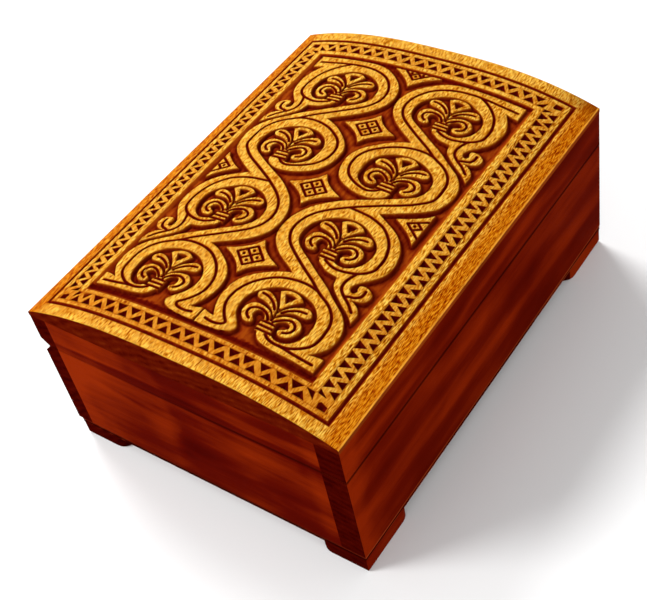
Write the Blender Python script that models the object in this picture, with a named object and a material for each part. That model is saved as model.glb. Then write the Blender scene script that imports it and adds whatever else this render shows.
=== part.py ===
"""Wooden jewelry box with a crowned lid.

Four stained boards stand on a thin bottom board with four corner feet. The
lid is a frame of four rails cut from the same boards, under a solid top board
that is flat below and crowned above. The long boards run past the end boards,
so their end grain shows at the corners. Two small brass butt hinges sit in a
V-groove along the back, where the upper edge of the back board and the lower
edge of the lid's back rail are both chamfered.

Frame: origin on the ground under the middle of the box, X along the length,
the front faces -Y, the hinges are at +Y, Z up. Metres.
"""

import math

import bmesh
import bpy
from mathutils import Vector

for old in list(bpy.data.objects):
    bpy.data.objects.remove(old, do_unlink=True)

MM = 0.001

# Overall
LENGTH = 203.0 * MM
WIDTH = 152.0 * MM
GAP = 0.3 * MM  # between pieces that touch

# Heights
FOOT_TOP = 7.7 * MM  # underside of the bottom board
FLOOR_TOP = 10.3 * MM  # top of the bottom board
SEAM = 59.2 * MM  # where the lid parts from the body
PANEL_UNDER = 76.6 * MM  # flat underside of the top board
PANEL_EDGE = 78.4 * MM  # upper arris of the top board, front and back
CROWN = 10.9 * MM  # rise of the crown above that arris
CROWN_POWER = 2.65  # 2 is a parabola; more is flatter in the middle
CROWN_STEPS = 48

# Boards
FRONT_T = 11.0 * MM
BACK_T = 8.5 * MM
END_T = 9.0 * MM
LINING_T = 1.0 * MM

# Feet: corner blocks whose two free corners are rounded in plan
FOOT_X = 31.5 * MM
FOOT_Y = 23.5 * MM
FOOT_ROUND = 6.0 * MM
FOOT_ROUND_STEPS = 6
FOOT_INSET = 0.4 * MM
FOOT_INSET_BACK = 2.0 * MM

# V-groove along the back
GROOVE_APEX_Y = 72.0 * MM
GROOVE_LEG = 4.2 * MM

# Butt hinges
HINGE_X = 60.0 * MM  # distance of each hinge from the middle
HINGE_LEN = 20.0 * MM
PIVOT_Y = 73.0 * MM
PIVOT_Z = SEAM
KNUCKLE_R = 1.75 * MM
BORE_R = 0.90 * MM
PIN_R = 0.60 * MM
PIN_STAND = 0.35 * MM  # how far a pin's rounded ends stand out
LEAF_T = 0.9 * MM
LEAF_INNER_Y = 68.3 * MM
MID_KNUCKLE = 6.4 * MM  # length of the lid leaf's single knuckle

# Countersunk screws
SCREW_X = 6.6 * MM  # from the middle of the hinge
SCREW_Y = 70.1 * MM
SCREW_LEN = 6.2 * MM
HEAD_R = 1.30 * MM
SHANK_R = 0.65 * MM
HEAD_CONE = HEAD_R - SHANK_R
SLOT_W = 0.40 * MM
SLOT_D = 0.30 * MM

HALF_L = LENGTH / 2
HALF_W = WIDTH / 2
HINGES = (("left", -HINGE_X), ("right", HINGE_X))


# ---------------------------------------------------------------- materials
def material(name, colour, roughness, metallic=0.0):
    mat = bpy.data.materials.new(name)
    mat.use_nodes = True
    bsdf = mat.node_tree.nodes["Principled BSDF"]
    bsdf.inputs["Base Color"].default_value = (*colour, 1.0)
    bsdf.inputs["Roughness"].default_value = roughness
    bsdf.inputs["Metallic"].default_value = metallic
    mat.diffuse_color = (*colour, 1.0)
    return mat


HONEY = (0.80, 0.39, 0.05)
MAHOGANY = (0.27, 0.04, 0.012)
DARK_MAHOGANY = (0.17, 0.022, 0.008)
FELT = (0.05, 0.014, 0.012)
BRASS = (0.80, 0.58, 0.24)


# ------------------------------------------------------------ mesh helpers
def to_object(name, bm, mat=None, origin=(0, 0, 0)):
    """Turn a bmesh in world coordinates into an object with this origin."""
    bmesh.ops.recalc_face_normals(bm, faces=bm.faces)
    bmesh.ops.translate(bm, verts=bm.verts, vec=-Vector(origin))
    mesh = bpy.data.meshes.new(name)
    bm.to_mesh(mesh)
    bm.free()
    obj = bpy.data.objects.new(name, mesh)
    obj.location = origin
    bpy.context.scene.collection.objects.link(obj)
    if mat is not None:
        mesh.materials.append(mat)
    return obj


def add_prism(bm, outline, place, depth):
    """Extrude a closed outline; place turns a 2-D point into a 3-D one."""
    face = bm.faces.new([bm.verts.new(place(*p)) for p in outline])
    grown = bmesh.ops.extrude_face_region(bm, geom=[face])
    new = [v for v in grown["geom"] if isinstance(v, bmesh.types.BMVert)]
    bmesh.ops.translate(bm, verts=new, vec=Vector(depth))


def add_box(bm, low, high):
    x0, y0, z0 = low
    x1, y1, z1 = high
    add_prism(
        bm,
        [(x0, y0), (x1, y0), (x1, y1), (x0, y1)],
        lambda x, y: (x, y, z0),
        (0, 0, z1 - z0),
    )


def box(name, low, high, mat=None):
    bm = bmesh.new()
    add_box(bm, low, high)
    return to_object(name, bm, mat)


def along_x(name, outline, x0, x1, mat=None, origin=(0, 0, 0)):
    """A bar along X whose section is an outline in Y and Z."""
    bm = bmesh.new()
    add_prism(bm, outline, lambda y, z: (x0, y, z), (x1 - x0, 0, 0))
    return to_object(name, bm, mat, origin)


def add_turned(bm, profile, centre, axis, segments):
    """Turn a profile of (distance along the axis, radius) about the axis."""
    axis = Vector(axis).normalized()
    side = Vector((0, 1, 0)) if abs(axis.y) < 0.5 else Vector((1, 0, 0))
    other = axis.cross(side)
    rings = []
    for along, radius in profile:
        ring = []
        for k in range(segments):
            a = 2 * math.pi * (k + 0.5) / segments
            ring.append(
                bm.verts.new(
                    Vector(centre)
                    + axis * along
                    + (side * math.cos(a) + other * math.sin(a)) * radius
                )
            )
        rings.append(ring)
    for low, high in zip(rings, rings[1:]):
        for k in range(segments):
            n = (k + 1) % segments
            bm.faces.new((low[k], low[n], high[n], high[k]))
    bm.faces.new(list(reversed(rings[0])))
    bm.faces.new(rings[-1])


def cutter(obj):
    obj.hide_render = True
    obj.display_type = "WIRE"
    return obj


def cut(obj, *tools):
    for tool in tools:
        mod = obj.modifiers.new("cut_" + tool.name, "BOOLEAN")
        mod.operation = "DIFFERENCE"
        mod.solver = "EXACT"
        mod.object = tool


def smooth(obj, degrees=35):
    obj.data.shade_smooth()
    obj.data.set_sharp_from_angle(angle=math.radians(degrees))


def crown_z(y):
    """Height of the top board's upper face at a distance y from the middle."""
    return PANEL_EDGE + CROWN * (1 - abs(y / HALF_W) ** CROWN_POWER)


# ------------------------------------------------------- cutters for hinges
# Leaf mortises: one box for each hinge, open towards the seam and the groove.
def mortises(name, z0, z1):
    bm = bmesh.new()
    for _, hx in HINGES:
        half = HINGE_LEN / 2 + GAP
        add_box(
            bm,
            (hx - half, LEAF_INNER_Y - GAP, z0),
            (hx + half, HALF_W + 2 * MM, z1),
        )
    return cutter(to_object(name, bm))


leaf_depth = GAP / 2 + LEAF_T + GAP
body_mortises = mortises("guide_body_mortises", SEAM - leaf_depth, SEAM + 3 * MM)
lid_mortises = mortises("guide_lid_mortises", SEAM - 3 * MM, SEAM + leaf_depth)

# Knuckle pockets: round clearances about the pivot.
bm = bmesh.new()
for _, hx in HINGES:
    half = HINGE_LEN / 2 + PIN_STAND + GAP
    add_turned(
        bm,
        [(-half, KNUCKLE_R + GAP + 0.05 * MM), (half, KNUCKLE_R + GAP + 0.05 * MM)],
        (hx, PIVOT_Y, PIVOT_Z),
        (1, 0, 0),
        32,
    )
knuckle_pockets = cutter(to_object("guide_knuckle_pockets", bm))


# Pilot holes for the screws.
def pilots(name, sign):
    bm = bmesh.new()
    for _, hx in HINGES:
        for sx in (-SCREW_X, SCREW_X):
            add_turned(
                bm,
                [
                    (-1.0 * MM, SHANK_R + GAP),
                    (SCREW_LEN + 0.5 * MM, SHANK_R + GAP),
                ],
                (hx + sx, SCREW_Y, SEAM + sign * GAP / 2),
                (0, 0, sign),
                16,
            )
    return cutter(to_object(name, bm))


body_pilots = pilots("guide_body_pilots", -1)
lid_pilots = pilots("guide_lid_pilots", 1)


# Screw holes in the leaves, countersunk from the seam side.
def countersinks(name, sign):
    bm = bmesh.new()
    top = HEAD_R + GAP
    low = SHANK_R + GAP
    for _, hx in HINGES:
        for sx in (-SCREW_X, SCREW_X):
            add_turned(
                bm,
                [
                    (-0.2 * MM, top + 0.2 * MM),
                    (top - low, low),
                    (LEAF_T + 1 * MM, low),
                ],
                (hx + sx, SCREW_Y, SEAM + sign * GAP / 2),
                (0, 0, sign),
                16,
            )
    return cutter(to_object(name, bm))


body_countersinks = countersinks("guide_body_countersinks", -1)
lid_countersinks = countersinks("guide_lid_countersinks", 1)

# Pin bore through the knuckles of both hinges.
bm = bmesh.new()
for _, hx in HINGES:
    add_turned(
        bm,
        [(-HINGE_LEN, BORE_R), (HINGE_LEN, BORE_R)],
        (hx, PIVOT_Y, PIVOT_Z),
        (1, 0, 0),
        20,
    )
pin_bores = cutter(to_object("guide_pin_bores", bm))


# Notches that make room for the other leaf's knuckles.
def notches(name, spans):
    bm = bmesh.new()
    for _, hx in HINGES:
        for a, b in spans:
            add_box(
                bm,
                (hx + a, PIVOT_Y - KNUCKLE_R - GAP, SEAM - 5 * MM),
                (hx + b, PIVOT_Y + 5 * MM, SEAM + 5 * MM),
            )
    return cutter(to_object(name, bm))


mid = MID_KNUCKLE / 2
body_notches = notches("guide_body_leaf_notches", [(-mid - GAP, mid + GAP)])
lid_notches = notches(
    "guide_lid_leaf_notches", [(-HINGE_LEN, -mid), (mid, HINGE_LEN)]
)

# --------------------------------------------------------------- body boards
body_top = SEAM - GAP / 2
wall_bottom = FLOOR_TOP + GAP

body_front_board = box(
    "body_front_board",
    (-HALF_L, -HALF_W, wall_bottom),
    (HALF_L, -HALF_W + FRONT_T, body_top),
    material("stained_front_board", MAHOGANY, 0.42),
)

# The back board's upper outer edge is chamfered: the lower half of the groove.
body_back_board = along_x(
    "body_back_board",
    [
        (HALF_W - BACK_T, wall_bottom),
        (HALF_W, wall_bottom),
        (HALF_W, SEAM - GROOVE_LEG),
        (GROOVE_APEX_Y, body_top),
        (HALF_W - BACK_T, body_top),
    ],
    -HALF_L,
    HALF_L,
    material("stained_back_board", MAHOGANY, 0.42),
)
cut(body_back_board, body_mortises, knuckle_pockets, body_pilots)

end_y0 = -HALF_W + FRONT_T + GAP
end_y1 = HALF_W - BACK_T - GAP
for side, x0, x1 in (
    ("left", -HALF_L, -HALF_L + END_T),
    ("right", HALF_L - END_T, HALF_L),
):
    box(
        f"body_{side}_end_board",
        (x0, end_y0, wall_bottom),
        (x1, end_y1, body_top),
        material(f"stained_{side}_end_board", MAHOGANY, 0.42),
    )

bottom_board = box(
    "bottom_board",
    (-HALF_L + 0.2 * MM, -HALF_W + 0.2 * MM, FOOT_TOP),
    (HALF_L - 0.2 * MM, HALF_W - FOOT_INSET_BACK, FLOOR_TOP),
    material("stained_bottom_board", DARK_MAHOGANY, 0.5),
)

inner_x = HALF_L - END_T
floor_lining = box(
    "floor_lining",
    (-inner_x + 0.5 * MM, end_y0 - GAP + 0.5 * MM, FLOOR_TOP + GAP),
    (inner_x - 0.5 * MM, end_y1 + GAP - 0.5 * MM, FLOOR_TOP + GAP + LINING_T),
    material("felt_lining", FELT, 0.95),
)

# ---------------------------------------------------------------------- feet
for where_y, sy in (("front", -1), ("back", 1)):
    inset_y = FOOT_INSET if sy < 0 else FOOT_INSET_BACK
    for where_x, sx in (("left", -1), ("right", 1)):
        cx = sx * (HALF_L - FOOT_INSET)
        cy = sy * (HALF_W - inset_y)
        # plan, measured from the foot's outer corner; each free corner is a
        # quarter circle
        r = FOOT_ROUND
        arc = [
            0.5 * math.pi * k / FOOT_ROUND_STEPS
            for k in range(FOOT_ROUND_STEPS + 1)
        ]
        outline = [(0, 0)]
        outline += [
            (FOOT_X - r + r * math.sin(a), r - r * math.cos(a)) for a in arc
        ]
        outline += [(FOOT_X, FOOT_Y)]
        outline += [
            (r - r * math.sin(a), FOOT_Y - r + r * math.cos(a)) for a in arc
        ]
        outline = [(cx - sx * px, cy - sy * py) for px, py in outline]
        bm = bmesh.new()
        add_prism(
            bm,
            outline,
            lambda x, y: (x, y, 0),
            (0, 0, FOOT_TOP - GAP),
        )
        to_object(
            f"foot_{where_y}_{where_x}",
            bm,
            material(f"stained_foot_{where_y}_{where_x}", DARK_MAHOGANY, 0.5),
        )

# ----------------------------------------------------------------------- lid
# Everything in the lid turns about the hinge pins.
lid_origin = (0, PIVOT_Y, PIVOT_Z)
lid_frame = bpy.data.objects.new("lid_frame", None)
lid_frame.location = lid_origin
bpy.context.scene.collection.objects.link(lid_frame)


def in_lid(obj):
    """Keep the piece where it is and hang it on the lid's pivot."""
    obj.parent = lid_frame
    obj.location = obj.location - Vector(lid_origin)
    return obj


rail_low = SEAM + GAP / 2
rail_top = PANEL_UNDER - GAP

in_lid(
    box(
        "lid_front_rail",
        (-HALF_L, -HALF_W, rail_low),
        (HALF_L, -HALF_W + FRONT_T, rail_top),
        material("stained_front_rail", MAHOGANY, 0.42),
    )
)

lid_back_rail = along_x(
    "lid_back_rail",
    [
        (HALF_W - BACK_T, rail_low),
        (GROOVE_APEX_Y, rail_low),
        (HALF_W, SEAM + GROOVE_LEG),
        (HALF_W, rail_top),
        (HALF_W - BACK_T, rail_top),
    ],
    -HALF_L,
    HALF_L,
    material("stained_back_rail", MAHOGANY, 0.42),
)
in_lid(lid_back_rail)
cut(lid_back_rail, lid_mortises, knuckle_pockets, lid_pilots)

for side, x0, x1 in (
    ("left", -HALF_L, -HALF_L + END_T),
    ("right", HALF_L - END_T, HALF_L),
):
    in_lid(
        box(
            f"lid_{side}_end_rail",
            (x0, end_y0, rail_low),
            (x1, end_y1, rail_top),
            material(f"stained_{side}_end_rail", MAHOGANY, 0.42),
        )
    )

# The top board: flat below, crowned above, the same section along its length.
outline = [(-HALF_W, PANEL_UNDER), (HALF_W, PANEL_UNDER)]
for k in range(CROWN_STEPS + 1):
    # even steps in angle put more points near the edges, where it curves most
    y = HALF_W * math.cos(math.pi * k / CROWN_STEPS)
    outline.append((y, crown_z(y)))
crowned = along_x(
    "carved_top_panel",
    outline,
    -HALF_L,
    HALF_L,
    material("lacquered_top_board", HONEY, 0.35),
)
smooth(crowned)
in_lid(crowned)


# -------------------------------------------------------------------- hinges
def leaf_outline(sign):
    """Section of a leaf with its knuckle; sign -1 is the body's leaf."""
    face = SEAM + sign * GAP / 2
    back = face + sign * LEAF_T
    start = math.asin((back - PIVOT_Z) / KNUCKLE_R)
    end = math.asin((face - PIVOT_Z) / KNUCKLE_R)
    # from the leaf's outer side the knuckle's circle runs all the way round
    a0 = math.pi - start
    a1 = math.pi - end
    turn = (a1 - a0) + sign * -2 * math.pi
    steps = 26
    points = [(LEAF_INNER_Y, face), (LEAF_INNER_Y, back)]
    for k in range(steps + 1):
        a = a0 + turn * k / steps
        points.append(
            (PIVOT_Y + KNUCKLE_R * math.cos(a), PIVOT_Z + KNUCKLE_R * math.sin(a))
        )
    return points


for side, hx in HINGES:
    brass = material(f"brass_hinge_{side}", BRASS, 0.3, 1.0)
    body_leaf = along_x(
        f"hinge_{side}_body_leaf",
        leaf_outline(-1),
        hx - HINGE_LEN / 2,
        hx + HINGE_LEN / 2,
        brass,
        (hx, PIVOT_Y, PIVOT_Z),
    )
    cut(body_leaf, body_notches, pin_bores, body_countersinks)

    lid_leaf = along_x(
        f"hinge_{side}_lid_leaf",
        leaf_outline(1),
        hx - HINGE_LEN / 2,
        hx + HINGE_LEN / 2,
        material(f"brass_lid_leaf_{side}", BRASS, 0.3, 1.0),
        (hx, PIVOT_Y, PIVOT_Z),
    )
    in_lid(lid_leaf)
    cut(lid_leaf, lid_notches, pin_bores, lid_countersinks)

    reach = HINGE_LEN / 2 + PIN_STAND
    bm = bmesh.new()
    add_turned(
        bm,
        [
            (-reach, 0.55 * PIN_R),
            (-reach + 0.3 * PIN_R, 0.9 * PIN_R),
            (-reach + 0.6 * PIN_R, PIN_R),
            (reach - 0.6 * PIN_R, PIN_R),
            (reach - 0.3 * PIN_R, 0.9 * PIN_R),
            (reach, 0.55 * PIN_R),
        ],
        (hx, PIVOT_Y, PIVOT_Z),
        (1, 0, 0),
        20,
    )
    pin = to_object(
        f"hinge_{side}_pin",
        bm,
        material(f"brass_pin_{side}", BRASS, 0.3, 1.0),
        (hx, PIVOT_Y, PIVOT_Z),
    )
    smooth(pin)

# -------------------------------------------------------------------- screws
for where, sign in (("body", -1), ("lid", 1)):
    face = SEAM + sign * GAP / 2
    bm = bmesh.new()
    for _, hx in HINGES:
        for sx in (-SCREW_X, SCREW_X):
            add_box(
                bm,
                (
                    hx + sx - 2 * HEAD_R,
                    SCREW_Y - SLOT_W / 2,
                    min(face + sign * SLOT_D, face - sign * MM),
                ),
                (
                    hx + sx + 2 * HEAD_R,
                    SCREW_Y + SLOT_W / 2,
                    max(face + sign * SLOT_D, face - sign * MM),
                ),
            )
    slots = cutter(to_object(f"guide_{where}_screw_slots", bm))
    for side, hx in HINGES:
        for k, sx in enumerate((-SCREW_X, SCREW_X), 1):
            bm = bmesh.new()
            add_turned(
                bm,
                [
                    (0, HEAD_R),
                    (HEAD_CONE, SHANK_R),
                    (SCREW_LEN - 1.4 * MM, SHANK_R),
                    (SCREW_LEN, 0.12 * MM),
                ],
                (hx + sx, SCREW_Y, face),
                (0, 0, sign),
                16,
            )
            screw = to_object(
                f"hinge_{side}_{where}_screw_{k}",
                bm,
                material(f"brass_screw_{side}_{where}_{k}", BRASS, 0.35, 1.0),
                (hx + sx, SCREW_Y, face),
            )
            if where == "lid":
                in_lid(screw)
            cut(screw, slots)
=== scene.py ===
import math

import bmesh
import bpy
import numpy as np
from mathutils import Matrix, Vector
from mathutils.geometry import delaunay_2d_cdt


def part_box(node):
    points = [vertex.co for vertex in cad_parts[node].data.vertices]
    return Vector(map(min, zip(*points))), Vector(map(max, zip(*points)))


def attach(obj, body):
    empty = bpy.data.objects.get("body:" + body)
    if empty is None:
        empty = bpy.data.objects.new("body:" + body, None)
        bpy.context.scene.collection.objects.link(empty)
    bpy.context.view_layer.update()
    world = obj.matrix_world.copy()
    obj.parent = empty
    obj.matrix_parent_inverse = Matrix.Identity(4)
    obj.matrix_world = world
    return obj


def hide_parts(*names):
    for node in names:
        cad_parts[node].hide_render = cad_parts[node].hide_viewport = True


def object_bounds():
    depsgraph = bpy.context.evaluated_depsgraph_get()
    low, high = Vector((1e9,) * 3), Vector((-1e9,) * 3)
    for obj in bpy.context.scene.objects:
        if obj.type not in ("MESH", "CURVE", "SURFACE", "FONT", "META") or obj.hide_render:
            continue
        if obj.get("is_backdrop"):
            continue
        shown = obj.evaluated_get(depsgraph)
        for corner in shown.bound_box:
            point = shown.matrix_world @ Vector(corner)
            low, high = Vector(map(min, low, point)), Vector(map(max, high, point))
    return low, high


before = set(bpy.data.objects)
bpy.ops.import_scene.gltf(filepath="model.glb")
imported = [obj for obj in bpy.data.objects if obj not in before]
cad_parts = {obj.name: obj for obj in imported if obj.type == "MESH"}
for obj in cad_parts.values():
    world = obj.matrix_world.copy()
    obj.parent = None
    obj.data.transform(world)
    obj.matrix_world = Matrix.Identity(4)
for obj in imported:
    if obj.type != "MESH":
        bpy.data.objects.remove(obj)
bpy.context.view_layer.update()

MM = 0.001

# The box in millimetres, as the frame has it
HALF_L = 101.5
HALF_W = 76.0
SEAM = 59.2
PANEL_EDGE = 78.4
CROWN = 10.9
CROWN_POWER = 2.65


def crown(y):
    """Height of the lid's upper face, in millimetres."""
    return PANEL_EDGE + CROWN * (1 - np.minimum(np.abs(y) / HALF_W, 1.0) ** CROWN_POWER)


# =====================================================================
# Plan curves of the carving, in millimetres
# =====================================================================
def smooth_run(p, closed, step):
    """Centripetal Catmull-Rom through p."""
    p = np.asarray(p, float)
    if closed:
        q = np.vstack([p[-1], p, p[0], p[1]])
    else:
        if len(p) == 2:
            n = max(1, int(math.ceil(np.linalg.norm(p[1] - p[0]) / step)))
            return p[0] + (p[1] - p[0]) * np.linspace(0, 1, n + 1)[:, None]
        q = np.vstack([2 * p[0] - p[1], p, 2 * p[-1] - p[-2]])
    out = []
    for i in range(1, len(q) - 2):
        p0, p1, p2, p3 = q[i - 1], q[i], q[i + 1], q[i + 2]
        t0 = 0.0
        t1 = t0 + np.linalg.norm(p1 - p0) ** 0.5
        t2 = t1 + np.linalg.norm(p2 - p1) ** 0.5
        t3 = t2 + np.linalg.norm(p3 - p2) ** 0.5
        n = max(1, int(math.ceil(np.linalg.norm(p2 - p1) / step)))
        t = np.linspace(t1, t2, n, endpoint=False)[:, None]
        a1 = (t1 - t) / (t1 - t0) * p0 + (t - t0) / (t1 - t0) * p1
        a2 = (t2 - t) / (t2 - t1) * p1 + (t - t1) / (t2 - t1) * p2
        a3 = (t3 - t) / (t3 - t2) * p2 + (t - t2) / (t3 - t2) * p3
        b1 = (t2 - t) / (t2 - t0) * a1 + (t - t0) / (t2 - t0) * a2
        b2 = (t3 - t) / (t3 - t1) * a2 + (t - t1) / (t3 - t1) * a3
        out.append((t2 - t) / (t2 - t1) * b1 + (t - t1) / (t2 - t1) * b2)
    if not closed:
        out.append(q[-2][None])
    return np.vstack(out)


def curve(points, closed=False, step=0.3):
    """A smooth curve through points; a third value marks a sharp corner."""
    xy = [p[:2] for p in points]
    sharp = [i for i, p in enumerate(points) if len(p) > 2]
    if closed and sharp:
        k = sharp[0]
        xy = xy[k:] + xy[:k] + [xy[k]]
        marks = [i - k for i in sharp] + [len(xy) - 1]
    elif closed:
        return smooth_run(xy, True, step)
    else:
        marks = sorted({0, *sharp, len(xy) - 1})
    runs = [smooth_run(xy[a : b + 1], False, step) for a, b in zip(marks, marks[1:])]
    out = np.vstack([r[:-1] for r in runs] + [runs[-1][-1:]])
    return out[:-1] if closed else out


def moved(points, dx=0.0, dy=0.0):
    return [(p[0] + dx, p[1] + dy, *p[2:]) for p in points]


# The carver's drawing does not sit quite evenly on the board. Shifts in
# millimetres, as cubics of x/100 and y/75.
DRIFT_X = (1.42, 1.111, -0.306, -1.229, -0.05, 0.01, -0.908, 0.428, -0.383, 0.05)
DRIFT_Y = (0.80, -0.614, 0.854, -0.418, -0.39, -0.14, 0.048, -0.851, 0.391, -0.28)


def seated(line):
    """Smooth curve points, shifted to where they lie on the board."""
    u, w = line[:, 0] / 100, line[:, 1] / 75
    terms = (1, u, w, u * u, u * w, w * w, u**3, u * u * w, u * w * w, w**3)
    dx = sum(c * t for c, t in zip(DRIFT_X, terms))
    dy = sum(c * t for c, t in zip(DRIFT_Y, terms))
    return line + np.stack([dx, dy], 1)


WAVE_STEP = 83.6  # the wave repeats after two medallions
CENTRES = ((-64.1, 26.6, 1), (-22.5, 26.5, 1), (19.0, 27.0, -1), (61.1, 26.6, 1))
# how far each palmette sits off its centre, in the back and the front row
OFF_BACK = ((0.35, 0.22), (0.12, 0.12), (0.12, -0.5), (-0.12, 0.35))
OFF_FRONT = ((0.48, 0.12), (0.12, 0.38), (0.25, -0.38), (0.12, 0.38))

# Outer edge of the wave over the first medallion, down into the second
# one's hollow and round it to the end of its ring
OVER = [
    (-69, 52), (-65, 52.7), (-61, 52.3), (-57, 50.6), (-53.5, 47.5),
    (-51, 43.8), (-48.5, 40), (-46, 36.6), (-43.8, 33), (-41.5, 29),
    (-39, 25), (-36.5, 21), (-34, 17), (-31.5, 13.6), (-28.5, 11.4),
    (-25, 10.6), (-21, 11), (-18, 12.5), (-15, 15.5), (-12.8, 19),
    (-11.5, 23), (-11.2, 27), (-12, 31), (-13.8, 34.3), (-15.5, 37.2),
    (-17.7, 40), (-20.3, 41.7), (-24, 42.4), (-28, 41.9), (-31, 40.5),
    (-33, 38.5), (-34.3, 36), (-34.3, 33), (-33.6, 31.0, 1), (-33.6, 24.8, 1),
    (-35.5, 25.6), (-37, 28), (-38.3, 30), (-39, 32.5), (-39.3, 36.2, 1),
]
# The scroll beside the second medallion and the top of its ring
SCROLL_EDGE = [
    (-41.2, 36.8), (-43, 37.3), (-45, 38.9), (-47.5, 42), (-50, 45.5),
    (-52.5, 49.5), (-55.2, 52.4, 1), (-51, 52.4), (-48.5, 51), (-47, 49),
    (-46.1, 46.2, 1), (-45.5, 49), (-44, 51.5), (-42, 52.4), (-40, 52),
    (-38.6, 50.2), (-38.1, 48.3), (-38.7, 46.2), (-40.2, 46.0), (-41.2, 46.6),
    (-42.4, 46.4), (-43.1, 45.5), (-42.8, 44.4), (-41.8, 43.7), (-40.4, 43.6),
    (-38.8, 44.2), (-36.8, 45.8), (-34, 48.2), (-31, 50.3), (-28, 51.3),
]
RING_TOP = [(-24, 51.6), (-20, 50.9), (-17, 49.9), (-14, 48.2)]
VALLEY = [
    (-11, 45.5), (-8.5, 42), (-6.5, 38), (-5, 35), (-3.6, 32.3, 1),
    (-1.5, 36), (1, 40), (4, 44.3), (7.3, 48.2), (10.5, 50.7),
]
RIGHT = [
    (59.5, 52), (63.5, 52), (67, 50.9), (70.2, 49.2), (73.2, 47.2, 1),
    (72.6, 49.8), (72.3, 53, 1), (80.3, 53, 1), (80.2, 44), (80.2, 34),
    (80.2, 26), (79.7, 20), (78.3, 15.4), (76.2, 11.8), (73.5, 8.3),
    (70.5, 5.3), (67.5, 3.3), (64, 2), (60.5, 1.5), (57, 1.9), (53.6, 3.2),
    (50.4, 5.5), (47.5, 8.3), (44.8, 11.7), (42.3, 15.3), (40.2, 18.8),
    (38.1, 21.6, 1),
]
THIRD = [
    (36.9, 18.4), (35, 14.6), (32.5, 11), (29.7, 7.6), (26.6, 4.7),
    (23, 2.7), (19, 2.0), (15, 2.4), (11.5, 3.5), (8.5, 5.3), (6.1, 8),
    (4.4, 11.3), (3, 15.2), (2.3, 19), (2.3, 22.5), (2.9, 25.2),
    (4, 27.5), (5.5, 29.3), (7.8, 30.2, 1), (7.8, 24.3, 1), (7, 22.4),
    (6.9, 19.8), (7.5, 17.3), (8.8, 15), (10.7, 12.9), (13, 11.7), (16, 11.3),
    (20, 11.3), (23, 12.3), (26, 14.5), (28, 17.3), (29.5, 21), (30.1, 25),
    (30.1, 28), (29.4, 31.5), (28.2, 34.7), (26.6, 37.5), (24.5, 40),
    (22, 41.6), (18.5, 42.3), (15, 42.1), (12, 40.8), (9.6, 38.3), (7.5, 35.2),
    (5.5, 32), (3.5, 28.6), (1.5, 25), (-0.6, 21), (-3, 16.6), (-5.5, 12.8),
    (-8.2, 9.4), (-11, 6.5), (-14.5, 4), (-18, 2.3), (-22, 1.3), (-26, 1.2),
    (-30, 1.9), (-33.4, 3.7), (-36.3, 6.3), (-38.8, 9.3), (-41.1, 13),
    (-43.3, 17), (-45.3, 20.4, 1),
]
FIRST = [
    (-46.8, 16), (-48.8, 12.3), (-51.5, 8.3), (-54.5, 5.1), (-58, 2.9),
    (-62, 1.9), (-65.5, 1.8), (-69, 2.4), (-72.5, 3.7), (-76.5, 5.9, 1),
    (-76, 3.2), (-75.2, 0.75, 1), (-81.9, 0.75, 1), (-81.7, 9), (-81, 13.3),
    (-79.5, 16.5), (-77.6, 17.3), (-74.5, 15.3), (-72, 13.1), (-69.5, 11.8),
    (-66, 11.1), (-62, 11.7), (-58.5, 13.7), (-55.5, 17), (-53.5, 20.5),
    (-52.5, 25), (-52.6, 29), (-53.5, 33), (-55, 36.5), (-57.5, 39.5),
    (-60.5, 41.4), (-64, 42.2), (-68.5, 42.1), (-72, 41), (-74.5, 39),
    (-75.8, 36.3), (-75.7, 33), (-74.8, 31.3, 1), (-74.8, 24.8, 1),
    (-77, 26.2), (-78.6, 28), (-79.5, 31), (-80, 35), (-80.2, 45),
    (-80.6, 53.2, 1), (-74, 53.2, 1), (-74.4, 50.2), (-75.2, 47.3, 1),
    (-72.5, 49.8),
]

# A medallion's palmette about its centre; the tight volute is at +y
TIE = [(-11.4, -2.9, 1), (-6.2, -3.2, 1), (-6.2, 2.9, 1), (-11.4, 3.9, 1)]
STEM = [
    (-6.8, 2.4, 1), (-5.4, 1.2), (-4.0, 0.75, 1), (-2.9, 0.35, 1),
    (-4.2, -0.2, 1), (-5.4, -0.9), (-6.8, -2.4, 1),
]
VOLUTE_TIGHT = [
    (-3.9, 0.9, 1), (-2.7, 1.8), (-1.7, 3.1), (-0.9, 4.7), (-0.4, 6.7),
    (-0.5, 9.1), (-1.6, 11.1), (-3.4, 12.2), (-5.6, 12.3), (-7.9, 11.2),
    (-9.5, 9.3), (-9.8, 7.5), (-9.3, 5.9), (-8.2, 5.2), (-7.2, 5.8),
    (-6.5, 7.1), (-5.4, 8.2), (-4.2, 8.0), (-3.4, 7.0), (-3.2, 5.8),
    (-3.7, 4.4), (-4.7, 3.2), (-6.2, 2.3, 1), (-6.2, 0.7, 1),
]
VOLUTE_OPEN = [
    (-4.0, -0.8, 1), (-2.6, -1.7), (-1.5, -3.1), (-0.8, -5.0), (-0.3, -7.4),
    (-0.3, -9.6), (-1.4, -11.5), (-3.3, -12.6), (-5.4, -12.7), (-7.7, -11.5),
    (-9.3, -9.6), (-9.6, -7.6), (-8.9, -6.2), (-7.9, -6.1), (-6.9, -7.0),
    (-5.6, -7.8), (-4.1, -7.8), (-2.9, -6.8), (-2.7, -5.3), (-3.5, -3.9),
    (-4.8, -2.8), (-6.2, -2.3, 1), (-6.2, -0.5, 1),
]
LEAF_ONE = [
    (-2.9, 0.55, 1), (-1.3, 1.35), (-0.1, 2.6), (0.9, 4.3), (1.5, 6.4),
    (1.5, 9.1), (1.7, 11.2), (2.8, 12.2), (4.5, 11.7), (5.7, 9.9),
    (5.5, 7.6), (4.6, 5.5), (3.2, 3.5), (1.6, 1.9), (0.1, 0.9), (-1.6, 0.3, 1),
]
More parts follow.
